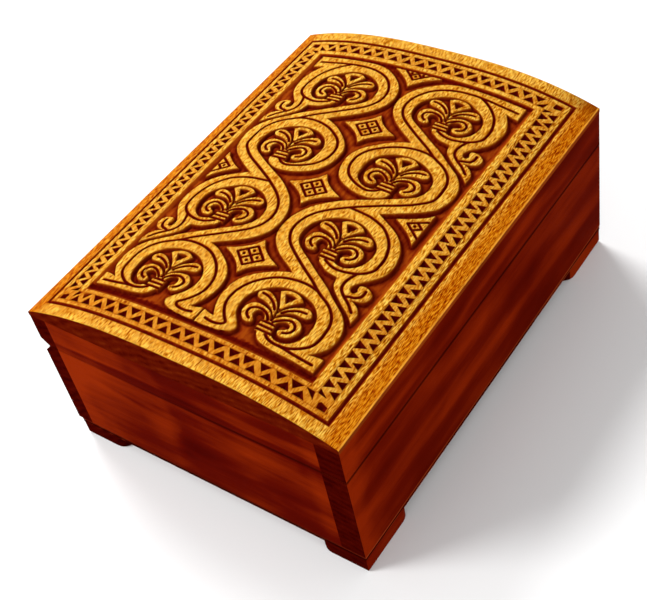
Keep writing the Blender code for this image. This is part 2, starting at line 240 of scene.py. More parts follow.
LEAF_MIDDLE = [
    (0.4, 0.05, 1), (2.3, 0.9), (4.6, 2.6), (7.7, 5.6, 1), (8.9, 4.4),
    (9.9, 2.2), (10.2, -0.3), (9.8, -2.7), (8.4, -4.8, 1), (6.2, -3.5),
    (3.6, -1.8), (1.8, -0.8), (0.4, -0.4, 1),
]
LEAF_HOLLOW = [(3.9, 0.35, 1), (5.8, 1.45), (8.1, 2.75, 1), (8.65, 0.9), (8.7, -0.9), (8.1, -2.55, 1), (6.0, -1.2)]
LEAF_TWO = [
    (-2.7, -0.4, 1), (-0.8, -0.8), (0.9, -1.5), (2.6, -2.6), (4.3, -4.4),
    (5.7, -6.6), (6.4, -8.8), (6.0, -10.8), (4.7, -12.1), (3.2, -11.9),
    (2.2, -10.5), (1.9, -8.4), (1.4, -6.4), (0.5, -4.4), (-0.7, -2.5), (-2.4, -1.0, 1),
]
PALMETTE = (TIE, STEM, VOLUTE_TIGHT, VOLUTE_OPEN, LEAF_ONE, LEAF_MIDDLE, LEAF_TWO)
PALMETTE_CUTS = (
    [(-10.7, -2.9), (-10.7, 3.8)],
    [(-8.7, -3.1), (-8.7, 3.4)],
    [(-6.6, -3.1), (-6.6, 2.9)],
    [(-8.0, 7.4), (-7.4, 8.8), (-6.2, 9.9), (-4.5, 10.2), (-2.9, 9.3),
     (-2.0, 7.6), (-2.2, 5.9), (-3.1, 4.0), (-4.3, 2.5), (-5.4, 1.4)],
    [(-7.9, -8.0), (-6.9, -9.5), (-5.2, -10.5), (-3.6, -10.2), (-2.4, -8.6),
     (-2.0, -6.7), (-2.3, -4.9), (-3.2, -3.1), (-4.4, -1.8), (-5.5, -1.0)],
    [(3.7, 9.8), (3.6, 8.0), (3.0, 6.0), (2.1, 4.3), (1.0, 2.8), (-0.3, 1.7)],
    [(4.7, -10.3), (4.4, -8.1), (3.6, -6.0), (2.5, -4.3), (1.2, -2.8), (-0.2, -1.8)],
    [(-5.0, 0.25), (-3.6, 0.15), (-2.2, -0.05), (-0.6, -0.2), (0.6, -0.2)],
)

# Incised lines of the back row
WAVE_START = [
    (-75.2, 29), (-76.3, 30.5), (-77.2, 33.5), (-77.2, 37), (-76.5, 40),
    (-75, 42.7), (-73.2, 45.0),
]
WAVE_CREST = [
    (-71, 46.6), (-68, 47.3), (-64, 47.3), (-60, 46.8), (-56.8, 45.4),
    (-53.8, 42.8), (-51.7, 39.8), (-50.2, 36.7), (-48.8, 34.2),
]
WAVE_TROUGH = [
    (-45.6, 29.6), (-43.1, 25.5), (-40.6, 21.4), (-38.1, 17.6), (-35.7, 14.1),
    (-32.8, 10.4), (-29.9, 8), (-27, 6.6), (-23, 6.1), (-19, 6.9),
    (-15, 9.0), (-11.3, 12.5),
]
WAVE_RISE = [
    (-8.8, 15.8), (-6.7, 18.9), (-4.6, 22.1), (-2.6, 25.5), (-0.6, 28.9),
    (1.4, 32.3), (3.3, 35.7), (5.4, 39), (8.4, 42.8),
]
WAVE_END = [
    (74.5, 16.3), (75.9, 20.4), (76.7, 25), (77.0, 30), (76.9, 35),
    (76.5, 41), (76.2, 46), (76.1, 51.2),
]
RING_ONE = [
    (-48.8, 34.2), (-48.1, 31), (-47.8, 27), (-48.3, 22), (-49.8, 17),
    (-52.3, 13), (-55.8, 9.4), (-60, 6.9), (-64.5, 5.8), (-69, 6.2),
    (-72, 7.7), (-75, 10), (-77.3, 12.1), (-78.6, 11.1), (-79.2, 9),
    (-79.3, 6.5), (-78.8, 3.8),
]
RING_TWO = [
    (-34.2, 27.6), (-35.8, 31.2), (-36.3, 34.5), (-35.6, 38.4), (-34.2, 42),
    (-32.4, 44.5), (-29.9, 46.4), (-27, 46.9), (-23, 46.8), (-19, 45.8),
    (-15.4, 44.1), (-11.9, 41.1),
]
RING_TWO_END = [(-9.3, 37.8), (-7.8, 34), (-6.7, 30), (-6.3, 26), (-6.0, 21)]
RING_THREE = [
    (34.7, 34), (35.3, 30.5), (35.3, 26), (34.6, 22), (33.1, 17.5),
    (30.6, 13), (27.1, 8.6), (23.1, 6.2), (18.6, 5.5), (14.1, 6.5),
    (10.4, 9.1), (7.8, 13), (6.2, 16.9), (5.5, 20.4), (6.3, 23.2), (8.2, 25.5),
]
SCROLL_CUTS = (
    [(-51.0, 50.0), (-48.3, 47.1), (-45.8, 43.4), (-43.5, 41.0), (-40.7, 40.2),
     (-37.4, 40.8), (-34.3, 42.0)],
    [(-46.0, 43.7), (-45.1, 45.6), (-44.6, 47.3), (-43.4, 48.8), (-41.7, 49.4),
     (-39.9, 49.3)],
)
SPUR_CUT = [(-78.1, 51), (-78.0, 47), (-77.8, 43), (-77.3, 38), (-77.2, 36)]


def back_row(off):
    """(raised outlines, hollows, wide cuts, fine cuts) of the back row."""
    network = (
        FIRST + OVER + SCROLL_EDGE + RING_TOP + VALLEY
        + moved(OVER, WAVE_STEP) + moved(SCROLL_EDGE, WAVE_STEP) + RIGHT + THIRD
    )
    raised, hollows, wide, fine = [network], [], [], []
    for (cx, cy, s), (ox, oy) in zip(CENTRES, off):
        def place(points):
            return [(p[0] + cx + ox, s * p[1] + cy + oy, *p[2:]) for p in points]
        raised += [place(shape) for shape in PALMETTE]
        hollows.append(place(LEAF_HOLLOW))
        fine += [place(cut) for cut in PALMETTE_CUTS]
    wide.append(
        WAVE_START + WAVE_CREST + WAVE_TROUGH + WAVE_RISE
        + moved(WAVE_CREST, WAVE_STEP) + moved(WAVE_TROUGH, WAVE_STEP) + WAVE_END
    )
    ring_four = moved(RING_TWO, WAVE_STEP) + [(74.7, 37.4), (76.9, 33.6)]
    wide += [RING_ONE, RING_TWO + RING_TWO_END, RING_THREE, ring_four, SPUR_CUT]
    for cut in SCROLL_CUTS:
        wide += [cut, moved(cut, WAVE_STEP)]
    return raised, hollows, wide, fine


def front_row(points):
    """The front row mirrors the back one, a little to the right."""
    return [(p[0] - 0.15, 0.6 - p[1], *p[2:]) for p in points]


def diamond(cx, cy, w, h):
    """Outline with concave sides, which follow the rings round it."""
    side = [(1.0, 0.0), (0.64, 0.2), (0.39, 0.43), (0.18, 0.7)]
    out = []
    for sx, sy, turned in ((-1, 1, 0), (1, 1, 1), (1, -1, 0), (-1, -1, 1)):
        quarter = [(sx * w * a, sy * h * b, *((1,) if b == 0 else ())) for a, b in side]
        quarter.append((0, sy * h, 1))
        out += quarter[::-1][:-1] if turned else quarter[:-1]
    return moved(out, cx, cy)


def lattice(cx, cy, w, h):
    """A square standing on a point, crossed, with a small mark in each part."""
    c = [(-w, 0), (0, h), (w, 0), (0, -h)]
    m = [((a[0] + b[0]) / 2, (a[1] + b[1]) / 2) for a, b in zip(c, c[1:] + c[:1])]
    lines = [[a, b] for a, b in zip(c, c[1:] + c[:1])] + [[m[0], m[2]], [m[1], m[3]]]
    dots = [(p[0] / 2 + cx, p[1] / 2 + cy) for p in c]
    return [moved(line, cx, cy) for line in lines], dots


# Frame lines round the carving: left, right, front, back
BORDER_GROOVE = (-94.8, 94.2, -67.85, 69.15)
ZIGZAG_OUTER = (-92.2, 91.6, -64.8, 65.75)
ZIGZAG_INNER = (-86.3, 85.8, -58.05, 59.3)
FIELD = (-84.6, 83.65, -54.8, 56.55)


def carving():
    raised, hollows, wide, fine = back_row(OFF_BACK)
    for lines, mirrored in zip((raised, hollows, wide, fine), back_row(OFF_FRONT)):
        lines += [front_row(p) for p in mirrored]
    dots = []
    for cx, cy, w in ((-45.1, 0.5, 9.5), (-2.6, 0.1, 9.6), (38.9, 0.2, 9.6)):
        raised.append(diamond(cx, cy, w, 12.3))
        lines, marks = lattice(cx + 0.1, cy + 0.3, 5.4, 6.3)
        fine += lines
        dots += marks
    # half a diamond at the right edge of the field
    raised.append([
        (80.8, 12.9, 1), (78.9, 9.6), (76.5, 6.2), (73.8, 3.2), (70.8, 0.8, 1),
        (73.8, -1.7), (76.5, -4.3), (78.9, -7.7), (80.8, -11.1, 1),
    ])
    fine += [[(80.7, 6.9), (78.1, 3.7), (75.5, 0.9)], [(75.5, 0.9), (78.1, -2.0), (80.7, -5.1)],
             [(77.9, 3.8), (80.7, 0.7)], [(78.0, -2.1), (80.7, 0.9)]]
    dots += [(78.1, 0.9), (80.0, 3.7), (80.0, -2.0)]
    # half diamonds at the back and front edges
    for cx, cy, s in ((0.1, -0.1, 1), (0.35, 0.5, -1)):
        raised.append([
            (cx - 11.6, cy + s * 51.3, 1), (cx - 8.4, cy + s * 48.2), (cx - 5.8, cy + s * 44.4),
            (cx - 4.1, cy + s * 41.4), (cx - 3.1, cy + s * 39.4, 1), (cx - 1.5, cy + s * 42.6),
            (cx + 1.1, cy + s * 46.4), (cx + 3.7, cy + s * 49.6), (cx + 6.1, cy + s * 51.4, 1),
        ])
        fine += [
            [(cx - 7.9, cy + s * 51.2), (cx - 3.0, cy + s * 44.4)],
            [(cx - 3.0, cy + s * 44.4), (cx + 1.7, cy + s * 51.2)],
            [(cx - 5.2, cy + s * 47.6), (cx - 2.9, cy + s * 50.6)],
            [(cx - 0.7, cy + s * 47.6), (cx - 2.9, cy + s * 50.6)],
        ]
        dots.append((cx - 2.95, cy + s * 47.6))
    return raised, hollows, wide, fine, dots


# =====================================================================
# Distances on a fine plan grid, and their contours
# =====================================================================
CELL = 0.14
GX0, GY0 = FIELD[0] - 1.0, FIELD[2] - 1.0
NX = int((FIELD[1] + 1.0 - GX0) / CELL) + 1
NY = int((FIELD[3] + 1.0 - GY0) / CELL) + 1
XS = GX0 + CELL * np.arange(NX)
YS = GY0 + CELL * np.arange(NY)
REACH = 4.3


def window(low, high, reach):
    i0 = max(0, int((low[0] - reach - GX0) / CELL))
    i1 = min(NX, int((high[0] + reach - GX0) / CELL) + 2)
    j0 = max(0, int((low[1] - reach - GY0) / CELL))
    j1 = min(NY, int((high[1] + reach - GY0) / CELL) + 2)
    return i0, max(i1, i0), j0, max(j1, j0)


def stamp_segments(grid, line, closed, reach, scale=1.0):
    """Lower grid to the distance from a polyline wherever that is nearer."""
    a = line if closed else line[:-1]
    b = np.roll(line, -1, 0) if closed else line[1:]
    for p, q in zip(a, b):
        i0, i1, j0, j1 = window(np.minimum(p, q), np.maximum(p, q), reach)
        if i0 >= i1 or j0 >= j1:
            continue
        x = XS[i0:i1][None, :] - p[0]
        y = YS[j0:j1][:, None] - p[1]
        d = q - p
        n = d @ d
        t = np.clip((x * d[0] + y * d[1]) / n, 0, 1) if n > 0 else 0.0
        dist = np.sqrt((x - t * d[0]) ** 2 + (y - t * d[1]) ** 2) * scale
        part = grid[j0:j1, i0:i1]
        np.minimum(part, dist, out=part)


def inside(line, i0, i1, j0, j1):
    """Even-odd fill of a closed polyline over a window of the grid."""
    flips = np.zeros((j1 - j0, i1 - i0 + 1), np.int32)
    a, b = line, np.roll(line, -1, 0)
    for (x0, y0), (x1, y1) in zip(a, b):
        if y0 == y1:
            continue
        lo, hi = (y0, y1) if y0 < y1 else (y1, y0)
        r0 = max(0, int(math.ceil((lo - GY0) / CELL)) - j0)
        r1 = min(j1 - j0 - 1, int(math.ceil((hi - GY0) / CELL)) - 1 - j0)
        for r in range(r0, r1 + 1):
            y = GY0 + CELL * (r + j0)
            x = x0 + (y - y0) * (x1 - x0) / (y1 - y0)
            c = int(math.ceil((x - GX0) / CELL)) - i0
            flips[r, min(max(c, 0), i1 - i0)] += 1
    return (np.cumsum(flips[:, :-1], axis=1) % 2) == 1


def signed(line):
    """Signed distance of a closed outline, positive inside, and its window."""
    i0, i1, j0, j1 = window(line.min(0), line.max(0), REACH)
    big = np.full((NY, NX), REACH)
    stamp_segments(big, line, True, REACH)
    part = big[j0:j1, i0:i1]
    return np.where(inside(line, i0, i1, j0, j1), part, -part), (i0, i1, j0, j1)


def contours(grid, level):
    """Chains of points where the grid crosses a level, in millimetres."""
    g = grid - level
    g = np.where(np.abs(g) < 1e-9, 1e-9, g)
    s = g > 0
    # crossing points on horizontal edges (between i and i+1) and vertical ones
    hx = s[:, :-1] != s[:, 1:]
    vx = s[:-1, :] != s[1:, :]
    points = {}

    def hpoint(j, i):
        key = (0, j, i)
        if key not in points:
            t = g[j, i] / (g[j, i] - g[j, i + 1])
            points[key] = (GX0 + CELL * (i + t), GY0 + CELL * j)
        return key

    def vpoint(j, i):
        key = (1, j, i)
        if key not in points:
            t = g[j, i] / (g[j, i] - g[j + 1, i])
            points[key] = (GX0 + CELL * i, GY0 + CELL * (j + t))
        return key

    count = (
        hx[:-1, :].astype(int) + hx[1:, :] + vx[:, :-1] + vx[:, 1:]
    )
    links = {}
    for j, i in np.argwhere(count >= 2):
        j, i = int(j), int(i)
        keys = []
        if hx[j, i]:
            keys.append(hpoint(j, i))
        if vx[j, i + 1]:
            keys.append(vpoint(j, i + 1))
        if hx[j + 1, i]:
            keys.append(hpoint(j + 1, i))
        if vx[j, i]:
            keys.append(vpoint(j, i))
        if len(keys) == 2:
            pairs = [(keys[0], keys[1])]
        else:
            middle = g[j : j + 2, i : i + 2].mean() > 0
            if middle == s[j, i]:
                pairs = [(keys[0], keys[1]), (keys[2], keys[3])]
            else:
                pairs = [(keys[0], keys[3]), (keys[1], keys[2])]
        for a, b in pairs:
            links.setdefault(a, []).append(b)
            links.setdefault(b, []).append(a)
    chains, used = [], set()
    ends = [k for k, v in links.items() if len(v) == 1]
    for start in ends + list(links):
        if start in used:
            continue
        chain = [start]
        used.add(start)
        while True:
            nxt = [k for k in links[chain[-1]] if k not in used]
            if not nxt:
                break
            chain.append(nxt[0])
            used.add(nxt[0])
        closed = len(chain) > 2 and chain[0] in links[chain[-1]]
        chains.append((np.array([points[k] for k in chain]), closed))
    return chains


def thinned(line, closed, tolerance=0.014, longest=1.0):
    """Fewer points on a chain, within a tolerance of the chain."""
    if len(line) < 4:
        return line
    if closed:
        line = np.vstack([line, line[:1]])
    # light smoothing removes the grid's own steps
    soft = line.copy()
    soft[1:-1] = 0.25 * line[:-2] + 0.5 * line[1:-1] + 0.25 * line[2:]
    line = soft
    keep = [0]
    i, n = 0, len(line)
    while i < n - 1:
        j = min(i + 2, n - 1)
        best = min(i + 1, n - 1)
        while j < n:
            d = line[j] - line[i]
            length = math.hypot(d[0], d[1])
            if length > longest:
                break
            between = line[i + 1 : j] - line[i]
            off = np.abs(between[:, 0] * d[1] - between[:, 1] * d[0]) / max(length, 1e-9)
            if len(off) and off.max() > tolerance:
                break
            best = j
            j += 1
        keep.append(best)
        i = best
    out = line[keep]
    return out[:-1] if closed else out


# =====================================================================
# The carved top board
# =====================================================================
# stain left in the hollows, with painted shade darkest at the foot of the walls and a painted highlight on the
# raised edges
RELIEF_D = [-4.0, -2.6, -1.7, -1.15, -0.75, -0.38, -0.16, 0.0, 0.16, 0.5]
RELIEF_Z = [-1.3, -1.42, -1.6, -1.8, -1.95, -1.45, -0.8, -0.25, -0.05, 0.0]
RELIEF_STAIN_AND_SHADING = [0.56, 0.6, 0.74, 0.9, 1.0, 0.92, 0.72, 0.3, -0.25, 0.0]  # below 0: painted highlight on the raised edges, also worn light
# the slope that comes down from the frame round the field
WALL_D = [-0.25, 0.0, 0.3, 1.2, 2.2, 3.2, 3.4]
WALL_Z = [0.0, -0.07, -0.38, -0.9, -1.42, -1.9, -9.0]
WALL_STAIN = [0.0, 0.18, 0.5, 0.64, 0.84, 0.96, 0.96]
CUT_D = [0.18, 0.54, 0.76]
CUT_Z = [-0.62, -0.32, 0.0]
CUT_STAIN = [1.15, 0.95, 0.0]


def relief_grids():
    raised_shapes, hollows, wide, fine, dots = carving()
    raised = np.full((NY, NX), -REACH)
    for shape in raised_shapes:
        part, (i0, i1, j0, j1) = signed(seated(curve(shape, True)))
        view = raised[j0:j1, i0:i1]
        np.maximum(view, part, out=view)
    for shape in hollows:
        part, (i0, i1, j0, j1) = signed(seated(curve(shape, True)))
        view = raised[j0:j1, i0:i1]
        np.minimum(view, -part, out=view)
    cuts = np.full((NY, NX), 1.2)
    for line in wide:
        stamp_segments(cuts, seated(curve(line)), False, 1.2)
    for line in fine:
        stamp_segments(cuts, seated(curve(line)), False, 1.1, scale=1.1)
    for x, y in dots:
        stamp_segments(cuts, seated(np.array([[x - 0.15, y], [x + 0.15, y + 0.1]])), False, 1.0)
    return raised, cuts


def bilinear(grid, x, y):
    c = np.clip((x - GX0) / CELL, 0, NX - 1.001)
    r = np.clip((y - GY0) / CELL, 0, NY - 1.001)
    i, j = c.astype(int), r.astype(int)
    u, v = c - i, r - j
    return (
        grid[j, i] * (1 - u) * (1 - v) + grid[j, i + 1] * u * (1 - v)
        + grid[j + 1, i] * (1 - u) * v + grid[j + 1, i + 1] * u * v
    )


def frame_distance(x, y, rect):
    """Distance from a frame line, measured square to its sides."""
    x0, x1, y0, y1 = rect
    cx, cy = (x0 + x1) / 2, (y0 + y1) / 2
    return np.maximum(np.abs(x - cx) - (x1 - x0) / 2, np.abs(y - cy) - (y1 - y0) / 2)


class Plan:
    """Points and edges for one constrained triangulation in plan."""

    def __init__(self):
        self.points, self.edges, self.z, self.stain_and_shading = [], [], {}, {}

    def add(self, line, closed, z=None, stain_and_shading=None):
        base = len(self.points)
        n = len(line)
        for k, p in enumerate(line):
            self.points.append((float(p[0]), float(p[1])))
            if z is not None:
                self.z[base + k] = z
            if stain_and_shading is not None:
                self.stain_and_shading[base + k] = stain_and_shading
        self.edges += [(base + k, base + k + 1) for k in range(n - 1)]
        if closed and n > 2:
            self.edges.append((base + n - 1, base))

    def add_frame(self, rect, offset, longest=2.5):
        x0, x1, y0, y1 = rect
        x0, x1, y0, y1 = x0 - offset, x1 + offset, y0 - offset, y1 + offset
        corners = [(x0, y0), (x1, y0), (x1, y1), (x0, y1)]
        line = []
        for a, b in zip(corners, corners[1:] + corners[:1]):
            n = int(math.ceil(math.dist(a, b) / longest))
            line += [
                (a[0] + (b[0] - a[0]) * k / n, a[1] + (b[1] - a[1]) * k / n)
                for k in range(n)
            ]
        self.add(line, True)

    def add_chip(self, corners, depth, rng):
        """A chip-cut pit: its outline, a line just inside it and its bottom."""
        c = np.array(corners, float)
        middle = c.mean(0)
        self.add(c, True)
        inner = middle + (c - middle) * 0.86
        self.add(inner, True, z=-0.2, stain_and_shading=1.05)
        self.add([middle + rng.normal(0, 0.08, 2)], False, z=-depth, stain_and_shading=1.25)


def zigzag(plan, rng):
    """Two rows of interlocking chip cuts round the border, with a zigzag of
    untouched wood left between them."""
    ox0, ox1, oy0, oy1 = ZIGZAG_OUTER
    ix0, ix1, iy0, iy1 = ZIGZAG_INNER
    gap = 0.12

    def jig(scale=0.16):
        return rng.normal(0, scale)

    def chip_x(x, base_y, into, width, height):
        lean = jig(0.3)
        plan.add_chip(
            [(x - width / 2 + jig(), base_y), (x + width / 2 + jig(), base_y),
             (x + lean, base_y + into * (height + jig()))], 1.05, rng,
        )

    def chip_y(y, base_x, into, width, height):
        lean = jig(0.3)
        plan.add_chip(
            [(base_x, y - width / 2 + jig()), (base_x, y + width / 2 + jig()),
             (base_x + into * (height + jig()), y + lean)], 1.05, rng,
        )

    # the carver's steps are not quite even along the sides
    def left_shift(k):
        return float(np.interp(k, [0, 3, 7.5], [-0.2, -0.15, 0.9]))

    def right_shift(k):
        return float(np.interp(k, [0, 2.5, 8.5, 14], [-0.1, -0.25, -0.5, 0.95]))

    def back_shift(x):
        return float(np.interp(x, [-60, -20, 20, 60], [0.0, -0.25, -0.38, -0.1]))

    def front_shift(x):
        return float(np.interp(x, [-60, -20, 20, 60], [0.0, -0.25, 0.0, 0.35]))

    for k in range(35):  # long sides, inner rows
        x = -86.3 + 5.06 * k
        if k in (0, 34):
            continue
        chip_x(x + back_shift(x), iy1 + gap, 1, 4.35, 4.3)
        chip_x(x + front_shift(x), iy0 - gap, -1, 4.35, 4.3)
    for k in range(34):  # long sides, outer rows
        x = -83.8 + 5.06 * k
        chip_x(x + back_shift(x), oy1 - gap, -1, 4.1, 3.7)
        chip_x(x + front_shift(x), oy0 + gap, 1, 4.1, 3.7)
    for k in range(18):  # short sides, inner rows
        if k in (0, 17):
            continue
        chip_y(-56.7 + 6.80 * k + left_shift(k), ix0 - gap, -1, 5.5, 3.9)
        chip_y(-57.1 + 6.74 * k + right_shift(k), ix1 + gap, 1, 5.5, 3.8)
    for k in range(17):  # short sides, outer rows
        chip_y(-53.3 + 6.80 * k + left_shift(k + 0.5), ox0 + gap, 1, 5.2, 3.7)
        chip_y(-53.7 + 6.74 * k + right_shift(k + 0.5), ox1 - gap, -1, 5.2, 3.5)
    # corners: a chip at the outer angle and two slivers at the inner one
    for sx, ox, ix in ((-1, ox0, ix0), (1, ox1, ix1)):
        for sy, oy, iy in ((-1, oy0, iy0), (1, oy1, iy1)):
            plan.add_chip(
                [(ox - sx * 0.15, oy - sy * 0.25), (ox - sx * 2.6, oy - sy * 0.4),
                 (ox - sx * 3.5, oy - sy * 3.5), (ox - sx * 2.7, oy - sy * 4.3),
                 (ox - sx * 0.15, oy - sy * 4.0)],
                1.3, rng,
            )
            plan.add_chip(
                [(ix - sx * 2.2, iy + sy * gap), (ix + sx * 0.1, iy + sy * gap),
                 (ix + sx * 0.5, iy + sy * 4.3)], 1.0, rng,
            )
            plan.add_chip(
                [(ix + sx * gap, iy - sy * 4.5), (ix + sx * gap, iy - sy * 0.7),
                 (ix + sx * 3.9, iy + sy * 0.4)], 1.0, rng,
            )


def carved_panel(name):
    rng = np.random.default_rng(11)
    raised, cuts = relief_grids()
    gx, gy = np.meshgrid(XS, YS)
    # side wall of the field: it slopes down from the fillet round it
    e = -frame_distance(gx, gy, FIELD)
    wall_z = np.interp(e, WALL_D, WALL_Z)
    wall_stain = np.interp(e, WALL_D, WALL_STAIN)
    orn_z = np.interp(raised, RELIEF_D, RELIEF_Z)
    height = np.maximum(orn_z, wall_z)
    stain_and_shading = np.where(wall_z > orn_z, wall_stain, np.interp(raised, RELIEF_D, RELIEF_STAIN_AND_SHADING))
    on_top = raised > 0.02
    height = np.where(on_top, height + np.interp(cuts, CUT_D, CUT_Z), height)
    stain_and_shading = np.where(on_top, np.maximum(stain_and_shading, np.interp(cuts, CUT_D, CUT_STAIN)), stain_and_shading)
    cuts = np.where(raised > -0.15, cuts, 1.2)

    plan = Plan()
    inset = 0.45
    plan.add_frame((-HALF_L, HALF_L, -HALF_W, HALF_W), -inset, 2.0)
    for rect, offsets in (
        (BORDER_GROOVE, (-0.95, -0.75, 0.0, 0.75, 0.95)),
        (ZIGZAG_OUTER, (-0.2, 0.0, 0.2)),
        (ZIGZAG_INNER, (-0.2, 0.0, 0.2)),
        (FIELD, (0.25, 0.0, -0.3, -1.2, -2.2, -3.2)),
    ):
        for offset in offsets:
            plan.add_frame(rect, offset)
    zigzag(plan, rng)
    for level in RELIEF_D:
        for line, closed in contours(raised, level):
            if len(line) > 5:
                plan.add(thinned(line, closed), closed)
    for level in CUT_D:
        for line, closed in contours(cuts, level):
            if len(line) > 5:
                plan.add(thinned(line, closed), closed)
    # bottoms of the gaps that are too narrow for the inner levels
    low_x = (raised[1:-1, 1:-1] < raised[1:-1, :-2]) & (raised[1:-1, 1:-1] <= raised[1:-1, 2:])
    low_y = (raised[1:-1, 1:-1] < raised[:-2, 1:-1]) & (raised[1:-1, 1:-1] <= raised[2:, 1:-1])
    narrow = (low_x | low_y) & (raised[1:-1, 1:-1] < -0.08) & (raised[1:-1, 1:-1] > -1.0)
    taken = set()
    for j, i in np.argwhere(narrow):
        key = (int(i) // 3, int(j) // 3)
        if key not in taken:
            taken.add(key)
            plan.add([(XS[i + 1], YS[j + 1])], False)
    # loose points that carry the crown and the floor's slight unevenness
    for x in np.arange(-100.3, 100.5, 1.9):
        for y in np.arange(-74.6, 74.8, 1.9):
            px, py = x + rng.uniform(-0.5, 0.5), y + rng.uniform(-0.5, 0.5)
            f = -frame_distance(px, py, FIELD)
            if f > 0.2:
                d = bilinear(raised, np.array([px]), np.array([py]))[0]
                c = bilinear(cuts, np.array([px]), np.array([py]))[0]
                if -1.3 < d < 0.75 or c < 0.9 or min(abs(f - w) for w in WALL_D) < 0.3:
                    continue
            elif abs(frame_distance(px, py, BORDER_GROOVE)) < 1.25:
                continue
            elif frame_distance(px, py, ZIGZAG_OUTER) < 0.5:
                continue
            plan.add([(px, py)], False)

    out = delaunay_2d_cdt([Vector(p) for p in plan.points], plan.edges, [], 0, 1e-5)
    verts, faces, origin = out[0], out[2], out[3]
    xy = np.array([(v.x, v.y) for v in verts])
    x, y = xy[:, 0], xy[:, 1]
    in_field = -frame_distance(x, y, FIELD) > -0.05
    z = np.where(in_field, bilinear(height, x, y), 0.0)
    s = np.where(in_field, bilinear(stain_and_shading, x, y), 0.0)
    groove = np.abs(frame_distance(x, y, BORDER_GROOVE))
    z += np.interp(groove, [0.0, 0.75, 0.95], [-0.65, -0.08, 0.0])
    s = np.maximum(s, np.interp(groove, [0.0, 0.75, 0.95], [1.05, 0.75, 0.0]))
    for rect in (ZIGZAG_OUTER, ZIGZAG_INNER):
        scribe = np.abs(frame_distance(x, y, rect))
        z += np.interp(scribe, [0.0, 0.2], [-0.25, 0.0])
        s = np.maximum(s, np.interp(scribe, [0.0, 0.2], [0.4, 0.0]))
    band = (frame_distance(x, y, ZIGZAG_OUTER) < 0) & (frame_distance(x, y, ZIGZAG_INNER) > 0)
    s = np.where(band, np.maximum(s, 0.13), s)
    for k, source in enumerate(origin):
        for o in source:
            if o in plan.z:
                z[k] = plan.z[o]
                s[k] = plan.stain_and_shading[o]
    # painted shade in the narrow hollows at both ends, darker than the stain there
    shaded_narrow_end = in_field & (z < -0.3)
    more = np.interp(x, [-83.8, -82.8, -80.9, -80.2, 81.0, 81.7, 82.6, 83.4], [0.6, 1.08, 1.08, 0.0, 0.0, 1.0, 1.1, 0.65])
    s[shaded_narrow_end] = np.maximum(s[shaded_narrow_end], more[shaded_narrow_end])
    # the hollow's floor is not dead level
    floor = in_field & (z < -1.1)
    z[floor] += 0.05 * np.sin(x[floor] * 1.9 + 1.3 * np.sin(y[floor] * 0.7)) + rng.normal(0, 0.015, floor.sum())
    z += crown(y)

    # rounded arris and the sides, from the outline inwards
    count = len(xy)
    border = frame_distance(x, y, (-HALF_L, HALF_L, -HALF_W, HALF_W)) > -inset - 1e-4
    ring = [int(k) for k in np.nonzero(border)[0]]
    ring.sort(key=lambda k: math.atan2(y[k] / HALF_W, x[k] / HALF_L))
    coords = [(x[k] * MM, y[k] * MM, z[k] * MM) for k in range(count)]
    values = list(s)
    rings = [ring]
    for turn in (30, 60, 90):
        a = math.radians(turn)
        new = []
        for k in ring:
            ex = math.copysign(1, x[k]) if abs(abs(x[k]) - (HALF_L - inset)) < 1e-3 else 0
            ey = math.copysign(1, y[k]) if abs(abs(y[k]) - (HALF_W - inset)) < 1e-3 else 0
            px, py = x[k] + ex * inset * math.sin(a), y[k] + ey * inset * math.sin(a)
            pz = min(z[k], crown(np.array(py)) + 0.0) - inset * (1 - math.cos(a))
            new.append(len(coords))
            coords.append((px * MM, py * MM, float(pz) * MM))
            values.append(0.0)
        rings.append(new)
    new = []
    for k in rings[-1]:
        px, py, _ = coords[k]
        new.append(len(coords))
        coords.append((px, py, 76.34 * MM))
        values.append(0.0)
    rings.append(new)
    skirts = []
    for low, high in zip(rings, rings[1:]):
        for k in range(len(low)):
            n = (k + 1) % len(low)
            skirts.append((low[k], high[k], high[n], low[n]))
    bottom = tuple(reversed(rings[-1]))
    mesh = bpy.data.meshes.new(name)
    mesh.from_pydata(coords, [], [tuple(f) for f in faces] + skirts + [bottom])
    mesh.update()
    # the stain attribute carries the carving's stain together with its painted shade and painted highlights
    mesh.attributes.new("stain_and_shading", "FLOAT", "POINT").data.foreach_set(
        "value", np.array(values, np.float32)
    )
    obj = bpy.data.objects.new(name, mesh)
    bpy.context.scene.collection.objects.link(obj)
    bm = bmesh.new()
    bm.from_mesh(mesh)
    bmesh.ops.recalc_face_normals(bm, faces=bm.faces)
    bm.to_mesh(mesh)
    bm.free()
    mesh.shade_smooth()
    mesh.set_sharp_from_angle(angle=math.radians(38))
    return obj


# =====================================================================
# Materials
# =====================================================================
def lin(r, g, b, k=1.0):
    """Display values 0-255 to scene-linear, times k."""
    out = []
    for v in (r, g, b):
        v = v / 255
        out.append(k * (v / 12.92 if v <= 0.04045 else ((v + 0.055) / 1.055) ** 2.4))
    return (*out, 1.0)


# the light is a little stronger than one, so the surfaces are a little darker
LIT, LIT_FRONT, LIT_END = 0.7, 0.9, 0.7


